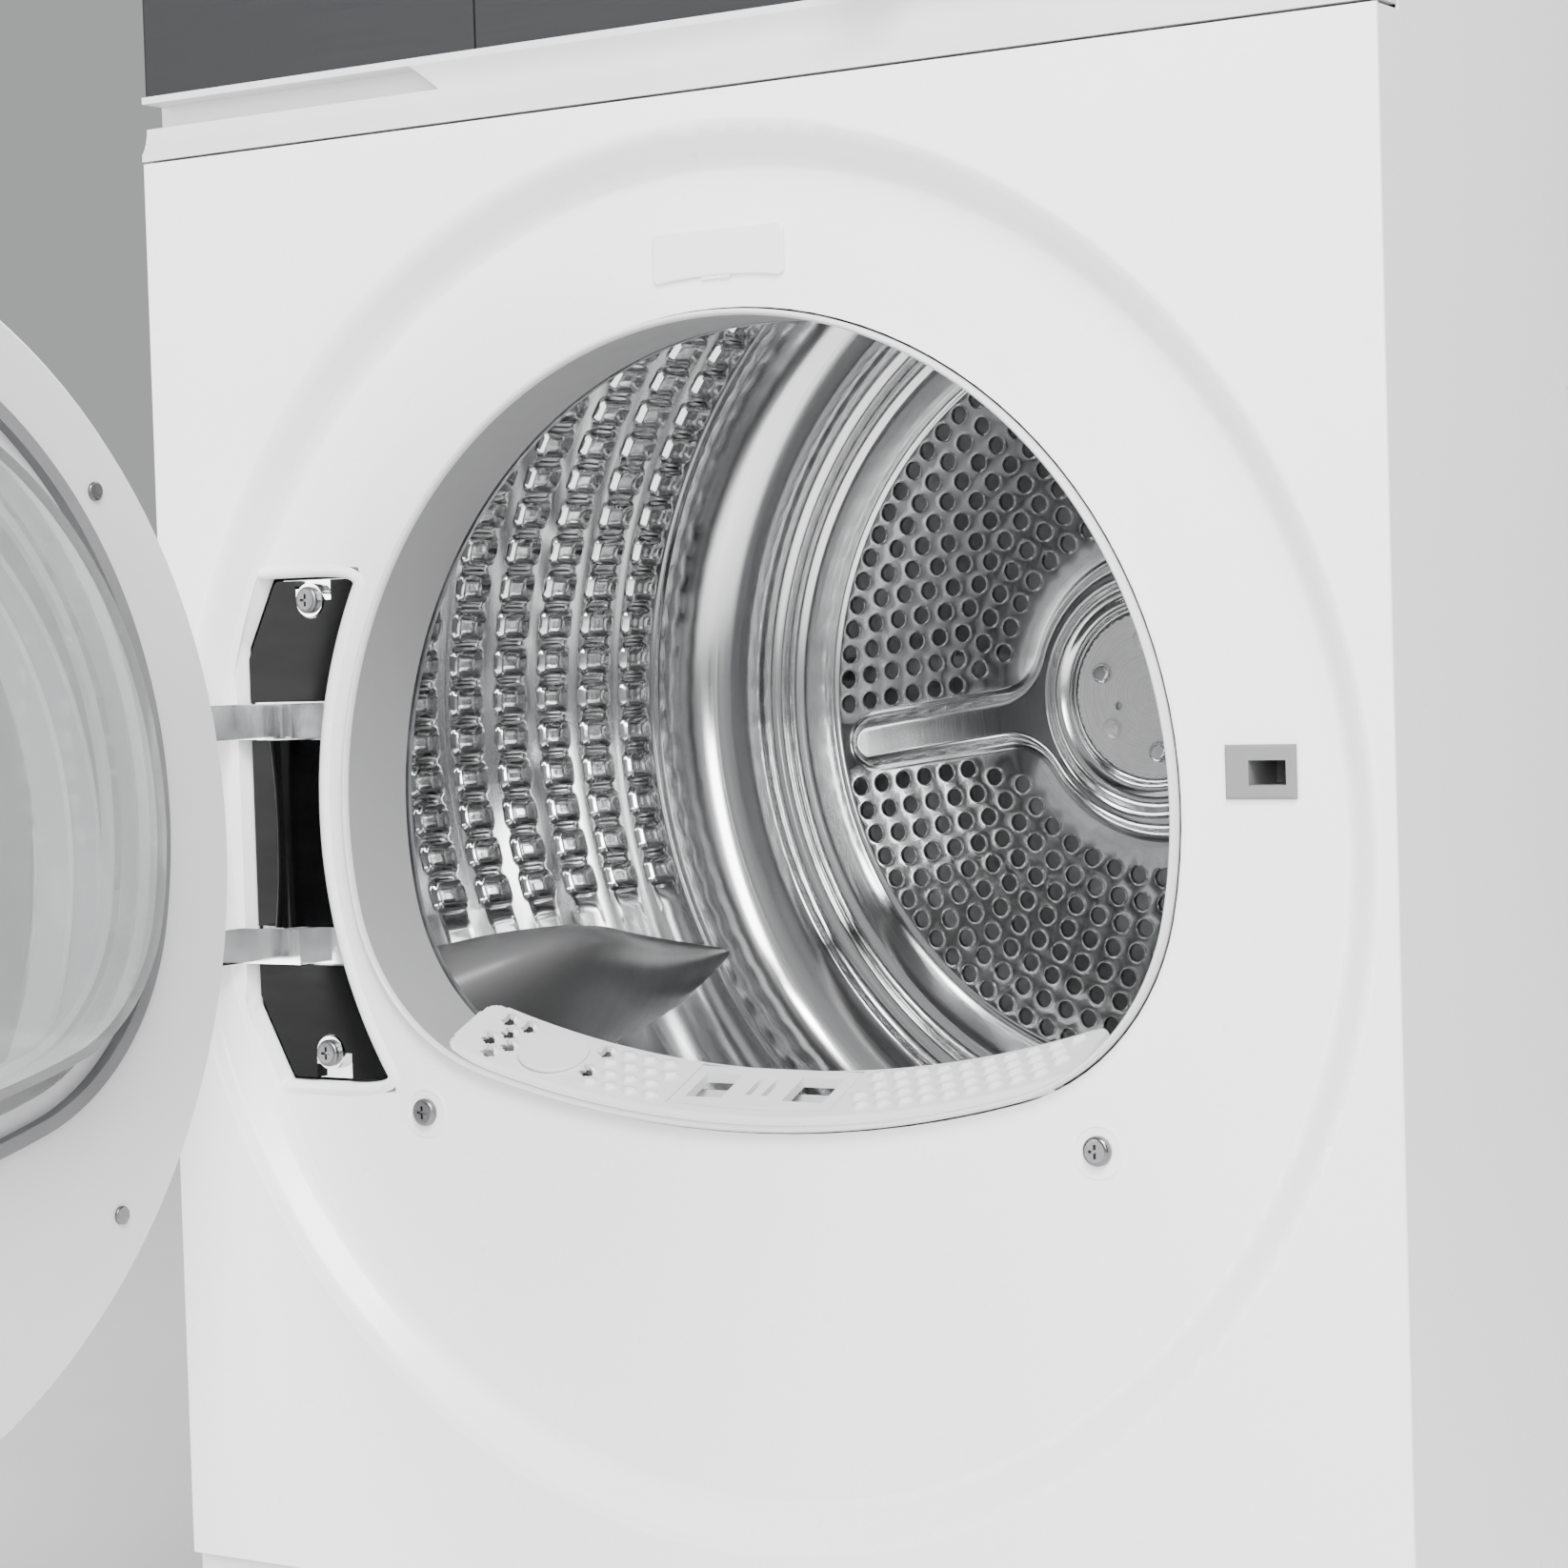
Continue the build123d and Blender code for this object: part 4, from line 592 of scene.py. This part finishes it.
def rear_wall(material, hub_material):
    """The drum's rear wall: spun rim, lipped holes, pressed star and hub in one sheet."""
    flat, heights, edges = [], [], []

    def add_loop(loop, height):
        start = len(flat)
        flat.extend(loop)
        heights.extend([height] * len(loop))
        edges.extend((start + k, start + (k + 1) % len(loop)) for k in range(len(loop)))

    add_loop(circle(0, 0, DISC_EDGE, 360), 0.0)
    for grow, height in STAR_WALL:
        add_loop(star_outline(grow), height)
    for radius, height in HUB_RINGS:
        add_loop(circle(0, 0, radius, 96), height)
    spots = hole_spots()
    for x, z in spots:
        for radius, height in HOLE_LIP:
            add_loop(circle(x, z, radius, 16), height)
    bolts = hub_spots(BOLT_RING, BOLT_TURN)
    for x, z in bolts:
        for radius, height in BOLT_HOLE:
            add_loop(circle(x, z, radius, 14), height)

    for x, z in hub_spots(DOME_RING, DOME_TURN):
        for share in DOME_RINGS:
            swell = math.sqrt(max(0.0, 1.0 - share * share))
            add_loop(circle(x, z, DOME_R * share, 20), HUB_FACE + DOME_RISE * swell)

    verts = [Vector(point) for point in flat]
    out_points, _, out_faces, origin, _, _ = delaunay_2d_cdt(verts, edges, [], 1, 0.0001)
    centres = np.asarray(spots)
    bolt_centres = np.asarray(bolts)
    points = []
    for point, sources in zip(out_points, origin):
        height = heights[sources[0]] if sources else 0.0
        points.append((point.x, DISC_Y - height, DRUM_Z + point.y))
    faces = []
    for face in out_faces:
        middle = sum((out_points[v] for v in face), Vector((0.0, 0.0))) / len(face)
        if middle.length > DISC_EDGE:
            continue
        spot = np.array(middle)
        if np.min(np.sum((centres - spot) ** 2, axis=1)) < 4.0 ** 2:
            continue
        if np.min(np.sum((bolt_centres - spot) ** 2, axis=1)) < 1.9 ** 2:
            continue
        faces.append(tuple(face))

    start = len(points)
    for radius, depth in RIM_PROFILE:
        for k in range(360):
            ripple = 0.5 * math.sin(math.radians(k) * 94) if 375 < depth < 385 else 0.0
            points.append(around_drum(radius - ripple, k, FRONT + depth))
    faces += grid_faces(len(RIM_PROFILE), 360, closed_columns=True, start=start)
    sheet = new_piece("rear_wall_sheet", points, faces, material, "drum",
                      ["drum_rear_wall"], 60.0)
    sheet.data.materials.append(hub_material)
    for face in sheet.data.polygons:
        x, _, z = face.center
        if math.hypot(x, z - DRUM_Z * MM) < HUB_FACE_R * MM:
            face.material_index = 1
    return sheet


# ---- lifters ----

# depth from the front, height and half width of each section
LIFTER_CREST = [
    (66, 4, 5), (70, 12, 14), (80, 20, 21), (100, 35, 28), (120, 51, 32), (140, 65, 34), (160, 72, 35),
    (180, 70, 35), (206, 64, 34), (235, 53, 32), (265, 43, 28), (295, 35, 22), (320, 30, 16),
    (338, 27, 10), (348, 24, 6), (350, 19, 4), (344, 12, 4), (334, 4, 5),
]


def lifters(material):
    """Three leaf-shaped lifters; each is a row of arched sections along the drum."""
    arch = np.linspace(-1.0, 1.0, 25)
    points, faces = [], []
    for third in range(3):
        start = len(points)
        for depth, height, half in LIFTER_CREST:
            for t in arch:
                lean = math.degrees(half * t / DRUM_R)
                rise = height * (1.0 - abs(t) ** 2.1) ** 0.9 - 1.0
                angle = LIFTER_ANGLE + 120 * third + lean
                points.append(around_drum(DRUM_R - rise, angle, FRONT + depth))
        rows, columns = len(LIFTER_CREST), len(arch)
        faces += grid_faces(rows, columns, start=start)
        for end in (0, rows - 1):
            faces.append(tuple(start + end * columns + k for k in range(columns)))
        for row in range(rows - 1):
            a = start + row * columns
            faces.append((a, a + columns, a + 2 * columns - 1, a + columns - 1))
    return new_piece("lifters", points, faces, material, "drum", ["drum_paddles"], 50.0)


# ---- opening rim and outlet grille ----

TUNNEL_WALL = RIM - 1.4
SLOT_ROOM = 2.0
# growth of the opening and depth from the dish floor, round the bead
RIM_SECTION = [
    (RIM - 0.5, 0.3), (RIM - 0.5, -3.0), (RIM - 0.7, -4.0), (RIM - 1.2, -4.6), (1.4, -4.8), (0.8, -4.6),
    (0.3, -4.0), (0.0, -3.0), (-0.1, -1.9), (0.5, -1.9), (RIM - 1.0, 0.3),
]


def tunnel_wall(material):
    """The loading tunnel, with the slot that the lint filter stands in left open."""
    y0, y1 = FILTER_Y[0] - 1.0, FILTER_Y[1] + 1.0
    section = [(TUNNEL_WALL, TUNNEL_BACK), (TUNNEL_WALL, y1), (TUNNEL_WALL, y0), (TUNNEL_WALL, FLOOR_Y - 2.0),
               (0.0, FLOOR_Y - 2.0), (0.0, y0), (0.0, y1), (0.0, TUNNEL_BACK)]
    rings = [opening_outline(grow, 640) for grow, _ in section]
    columns = len(rings[0])
    points = []
    for ring, (_, y) in zip(rings, section):
        points += [(x, y, z) for x, z in ring]
    faces = []
    for face in grid_faces(len(section), columns, closed_rows=True, closed_columns=True):
        x = sum(points[v][0] for v in face) / 4
        y = sum(points[v][1] for v in face) / 4
        z = sum(points[v][2] for v in face) / 4
        beside = FILTER_X[0] - SLOT_ROOM < x < FILTER_X[1] + SLOT_ROOM
        in_slot = beside and y0 < y < y1 and z < OPEN_Z
        if not in_slot:
            faces.append(face)
    return new_piece("tunnel_wall", points, faces, material, "cabinet",
                     ["tunnel_bezel"], 40.0)


def opening_rim(material):
    """The rounded bright bead round the opening, on the front edge of the tunnel."""
    rings = [opening_outline(grow, 320) for grow, _ in RIM_SECTION]
    points = []
    for ring, (_, y) in zip(rings, RIM_SECTION):
        points += [(x, FLOOR_Y + y, z) for x, z in ring]
    faces = grid_faces(len(RIM_SECTION), len(rings[0]), closed_rows=True, closed_columns=True)
    return new_piece("opening_rim", points, faces, material, "cabinet", (), 60.0)


POCKET_TOP = 103.0
POCKET_BOTTOM = -121.0
POCKET_SIDE = OPEN_R + 18.6
LIP_CORNER = 3.6
LIP_LEFT = -252.0
UPPER_BEND = -222.0
LOWER_BEND = -216.0
# growth of the pocket and depth from the dish floor, across the lip
LIP_SECTION = [(6.2, 0.05), (5.2, -0.5), (4.2, -1.1), (3.0, -1.4), (1.6, -1.1), (0.5, -0.4), (0.0, 0.9)]


def pocket_lip(material):
    """Soft raised lip round three sides of the hinge pocket, part of the pressed panel."""
    points = []
    for grow, y in LIP_SECTION:
        top, bottom = OPEN_Z + POCKET_TOP + grow, OPEN_Z + POCKET_BOTTOM - grow
        side = POCKET_SIDE - grow
        upper = math.asin((POCKET_TOP - LIP_CORNER) / side)
        lower = math.asin((POCKET_BOTTOM + LIP_CORNER) / side)
        path = [(x, top) for x in np.linspace(LIP_LEFT, UPPER_BEND, 11)]
        sweep = [(-side * math.cos(a), OPEN_Z + side * math.sin(a))
                 for a in np.linspace(upper, lower, 40)]
        path += round_corner((UPPER_BEND, top), (sweep[0][0] - 1.5, top), sweep[0])
        path += sweep
        path += round_corner(sweep[-1], (sweep[-1][0] - 1.5, bottom), (LOWER_BEND, bottom))
        path += [(x, bottom) for x in np.linspace(LOWER_BEND, LOWER_BEND - 27.0, 10)]
        points += [(x, FLOOR_Y + y, z) for x, z in path]
    columns = len(points) // len(LIP_SECTION)
    faces = grid_faces(len(LIP_SECTION), columns)
    return new_piece("pocket_lip", points, faces, material, "cabinet", (), 60.0)


def round_corner(start, corner, end, count=8):
    """Points of a smooth bend from start to end that is pulled towards the corner."""
    bend = []
    for t in np.linspace(0.0, 1.0, count + 2)[1:-1]:
        bend.append(tuple((1 - t) ** 2 * a + 2 * t * (1 - t) * b + t * t * c
                          for a, b, c in zip(start, corner, end)))
    return bend


GRILLE_HALF = 155.0
SCALE_PITCH_X = 10.4
SCALE_PITCH_Y = 7.4
SCALE_RISE = 3.1
SCALE_ROWS = 4
GRILLE_CORNER = 9.0
GRILLE_STEP = 0.8
CAP_CLEAR_R = 19.0
OPEN_SCALES_X = CAP_X + 24


def grille_scales():
    """Middles of the scales, in staggered rows, clear of the cap and the filter."""
    spots = []
    for row in range(SCALE_ROWS):
        for column in range(-15, 16):
            x = SCALE_PITCH_X * (column + 0.5 * (row % 2))
            y = FLOOR_Y + 9.0 + SCALE_PITCH_Y * row
            beside_filter = FILTER_X[0] - 8 < x < FILTER_X[1] + 8
            by_cap = (x - CAP_X) ** 2 + (y - FLOOR_Y - 19.0) ** 2 < CAP_CLEAR_R ** 2
            if not beside_filter and not by_cap and abs(x) < GRILLE_HALF - 12:
                spots.append((x, y))
    return np.asarray(spots)


def outlet_grille(material):
    """The vented strip in the tunnel floor: raised scales, with slits under those near the cap."""
    xs = np.arange(-GRILLE_HALF, GRILLE_HALF + 0.1, GRILLE_STEP)
    ys = np.arange(FLOOR_Y - 1.0, TUNNEL_BACK - 0.9, GRILLE_STEP)
    run = TUNNEL_BACK - FLOOR_Y - 3
    gx, gy = np.meshgrid(xs, ys)
    inset = np.maximum(np.abs(gx) - (GRILLE_HALF - GRILLE_CORNER), 0) ** 2
    near_front = np.maximum(ys[0] + GRILLE_CORNER - gy, 0) ** 2
    near_back = np.maximum(gy - (ys[-1] - GRILLE_CORNER), 0) ** 2
    outside = np.sqrt(inset + np.maximum(near_front, near_back)) > GRILLE_CORNER
    base = OPEN_Z + OPEN_FLOOR + OPEN_FLOOR_R - np.sqrt(OPEN_FLOOR_R ** 2 - gx ** 2)
    height = base + 3.3 + GRILLE_RISE * (gy - FLOOR_Y - 2) / run
    front_edge = smooth_step((gy - ys[0]) / 3.0)
    height = base - 1.0 + (height - base + 1.0) * front_edge
    slit = np.zeros_like(gx, dtype=bool)
    for x, y in grille_scales():
        dx, dy = np.abs(gx - x) / 5.0, (gy - y) / 3.7
        inside = np.clip((1.0 - dx - np.abs(dy)) * 3.0, 0, 1)
        height += SCALE_RISE * inside * (0.55 - 0.45 * np.clip(dy, -1, 1))
        if x < OPEN_SCALES_X:
            slit |= (np.abs(gx - x) / 4.2 + np.abs(gy - y + 3.4) / 2.6) < 1.0
    points = np.stack([gx, gy, height], axis=-1).reshape(-1, 3).tolist()
    columns = len(xs)
    x0, x1 = FILTER_X[0] - 0.5, FILTER_X[1] + 0.5
    y0, y1 = FILTER_Y[0] - 0.5, FILTER_Y[1] + 0.5
    faces = []
    for i in range(len(ys) - 1):
        for j in range(columns - 1):
            x = xs[j] + GRILLE_STEP / 2
            y = ys[i] + GRILLE_STEP / 2
            in_filter = x0 < x < x1 and y0 < y < y1
            if in_filter or slit[i, j] or outside[i, j] or outside[i + 1, j + 1]:
                continue
            a = i * columns + j
            faces.append((a, a + 1, a + columns + 1, a + columns))
    piece = new_piece("grille_scales", points, faces, material, "cabinet",
                      ["outlet_grille"], 60.0)
    thicken(piece.data, 2.0)
    return piece


def thicken(mesh, thickness):
    """Gives a sheet mesh its thickness and drops the points no face uses."""
    bm = bmesh.new()
    bm.from_mesh(mesh)
    loose = [v for v in bm.verts if not v.link_faces]
    bmesh.ops.delete(bm, geom=loose, context="VERTS")
    for face in bm.faces:
        if face.normal.z < 0:
            face.normal_flip()
    bmesh.ops.solidify(bm, geom=list(bm.faces), thickness=thickness * MM)
    bmesh.ops.recalc_face_normals(bm, faces=bm.faces)
    bm.to_mesh(mesh)
    bm.free()
    mesh.polygons.foreach_set("use_smooth", [True] * len(mesh.polygons))
    mesh.set_sharp_from_angle(angle=math.radians(50))


# ---- stage, lights, camera ----

def soft_light(name, place, aim, size, power):
    light = bpy.data.lights.new(name, "AREA")
    light.shape = "RECTANGLE"
    light.size, light.size_y = size
    light.energy = power
    lamp = bpy.data.objects.new(name, light)
    bpy.context.collection.objects.link(lamp)
    lamp.location = place
    lamp.rotation_euler = (Vector(aim) - Vector(place)).to_track_quat("-Z", "Y").to_euler()
    return lamp


def studio():
    look = Look("studio_floor", (0.86, 0.86, 0.86), 0.7)
    look.shade(look.noise(look.place(), 3.0), 0.98)
    look.rough(look.noise(look.place(), 12.0), 0.6, 0.8)
    mesh = bpy.data.meshes.new("studio_floor")
    bm = bmesh.new()
    size = 9.0
    corners = [(-size, -size, 0), (size, -size, 0), (size, size, 0), (-size, size, 0)]
    bm.faces.new([bm.verts.new(corner) for corner in corners])
    bm.to_mesh(mesh)
    bm.free()
    mesh.materials.append(look.material)
    floor = bpy.data.objects.new("studio_floor", mesh)
    bpy.context.collection.objects.link(floor)

    world = bpy.data.worlds.new("studio_air")
    bpy.context.scene.world = world
    world.use_nodes = True
    world.node_tree.nodes["Background"].inputs["Color"].default_value = (0.93, 0.94, 0.95, 1.0)
    world.node_tree.nodes["Background"].inputs["Strength"].default_value = 0.45

    soft_light("key", (1.3, -2.0, 2.9), (0.0, -0.2, 0.45), (1.6, 1.3), 245)
    soft_light("fill", (-1.6, -2.6, 1.1), (0.0, -0.2, 0.45), (1.5, 2.2), 80)
    soft_light("into_drum", (0.75, -1.35, 0.95), (-0.1, 0.1, 0.45), (0.35, 0.8), 14)


def camera():
    lens = bpy.data.cameras.new("view")
    lens.lens = 82.07
    lens.sensor_width = 36.0
    lens.shift_x = 0.0048
    lens.shift_y = -0.0106
    eye = bpy.data.objects.new("view", lens)
    bpy.context.collection.objects.link(eye)
    right = Vector((0.83796, 0.54487, -0.03058))
    up = Vector((0.00685, 0.04553, 0.99894))
    back = Vector((0.54569, -0.83728, 0.03442))
    turn = Matrix((right, up, back)).transposed().to_4x4()
    eye.matrix_world = Matrix.Translation((0.8146, -1.4712, 0.5163)) @ turn
    bpy.context.scene.camera = eye


# ---- dressing the CAD nodes ----

def dress(material, *names):
    for name in names:
        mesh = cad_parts[name].data
        mesh.materials.clear()
        mesh.materials.append(material)


white = enamel("white_enamel", (0.9, 0.9, 0.9))
dress(white, "left_side_panel", "right_side_panel", "front_panel")
dress(moulded("white_plastic", (0.84, 0.84, 0.84), 0.35), "plinth_panel", "service_flap",
      "blanking_cover", "door_ring")
dress(moulded("strip_plastic", (0.66, 0.66, 0.67), 0.35), "control_strip")
dress(moulded("worktop_board", (0.82, 0.82, 0.82), 0.45, 500.0, 0.05), "worktop")
dress(sheet_steel("zinc_sheet", (0.62, 0.63, 0.64), 0.4, 140.0, 0.9), "rear_panel", "rear_bulkhead",
      "front_bulkhead")
bezel_plastic = moulded("bezel_plastic", (0.27, 0.27, 0.274), 0.5, 700.0)
dress(bezel_plastic, "tunnel_bezel")
dress(moulded("lock_plastic", (0.17, 0.17, 0.173), 0.5), "door_lock_housing")
grille_plastic = moulded("grille_plastic", (0.66, 0.66, 0.66), 0.4)
dress(grille_plastic, "grille_cap", "lint_filter_frame")
dress(woven_mesh("filter_mesh", (0.5, 0.5, 0.5)), "lint_filter_mesh")
dress(brushed_dark("fascia_dark", (0.021, 0.0215, 0.0225)), "control_fascia", "tank_drawer_front")
dress(fibre_felt("drum_felt", (0.32, 0.31, 0.3)), "drum_felt_seals")
dress(plated("bright_chrome"), "hinge_bracket")
dress(plated("screw_chrome", (0.2, 0.2, 0.205), 0.25), "panel_screws", "door_screws")
dress(gloss_black("hinge_black"), "hinge_covers", "door_knuckle")
dress(plated("knob_chrome", (0.7, 0.7, 0.71), 0.18), "program_knob")
dress(moulded("key_plastic", (0.3, 0.3, 0.31), 0.35), "power_button", "start_button")
dress(tinted_glass("smoked_glass", (0.12, 0.12, 0.13), 0.05, 0.9), "door_glass")
dress(tinted_glass("clear_bowl", (0.93, 0.94, 0.94), 0.04, 0.96), "door_bowl")
dress(moulded("door_inner", (0.55, 0.55, 0.56), 0.4), "door_inner_frame")
dress(rubber("seal_rubber", (0.16, 0.16, 0.165), 0.6), "door_seal")
dress(plated("catch_steel", (0.6, 0.6, 0.61), 0.25), "latch_catch", "door_hook", "drum_shaft",
      "tension_arm", "motor_rotor")
dress(moulded("base_plastic", (0.13, 0.13, 0.135), 0.6, 500.0, 0.06), "base_tray", "tank_tray",
      "cord_gland", "drain_spigot", "fan_housing", "fan_impeller")
dress(sheet_steel("duct_sheet", (0.8, 0.81, 0.82), 0.5, 45.0, 0.9), "rear_air_duct")
dress(sheet_steel("motor_steel", (0.35, 0.36, 0.37), 0.4, 80.0), "motor_housing")
dress(gloss_black("compressor_black", (0.02, 0.02, 0.021)), "compressor")
dress(finned("cooling_fins", (0.7, 0.71, 0.72)), "evaporator", "condenser")
dress(plated("copper_pipe", (0.72, 0.4, 0.26), 0.3), "refrigerant_pipes")
dress(rubber("belt_rubber", (0.03, 0.03, 0.03)), "drive_belt")
dress(rubber("roller_rubber", (0.06, 0.06, 0.06)), "left_roller", "right_roller", "idler_pulley")
dress(moulded("tank_plastic", (0.72, 0.74, 0.75), 0.3), "water_tank")
dress(rubber("foot_rubber", (0.05, 0.05, 0.05)), "feet")
rear_steel = pressed_steel("rear_steel")
dress(plated("rivet_steel", (0.72, 0.72, 0.73), 0.16), "hub_rivets")

shell_steel = mirror_steel("shell_steel")
dress(shell_steel, "drum_mantle")
dress(rear_steel, "drum_rear_wall")
drum_shell(shell_steel)
rear_wall(rear_steel, satin_steel("hub_steel"))
lifter_plastic = moulded("lifter_plastic", (0.11, 0.11, 0.112), 0.36, 800.0)
dress(lifter_plastic, "drum_paddles")
lifters(lifter_plastic)
tunnel_wall(bezel_plastic)
opening_rim(moulded("rim_plastic", (0.62, 0.62, 0.62), 0.3, 900.0, 0.02))
pocket_lip(white)
dress(grille_plastic, "outlet_grille")
outlet_grille(grille_plastic)

studio()
camera()
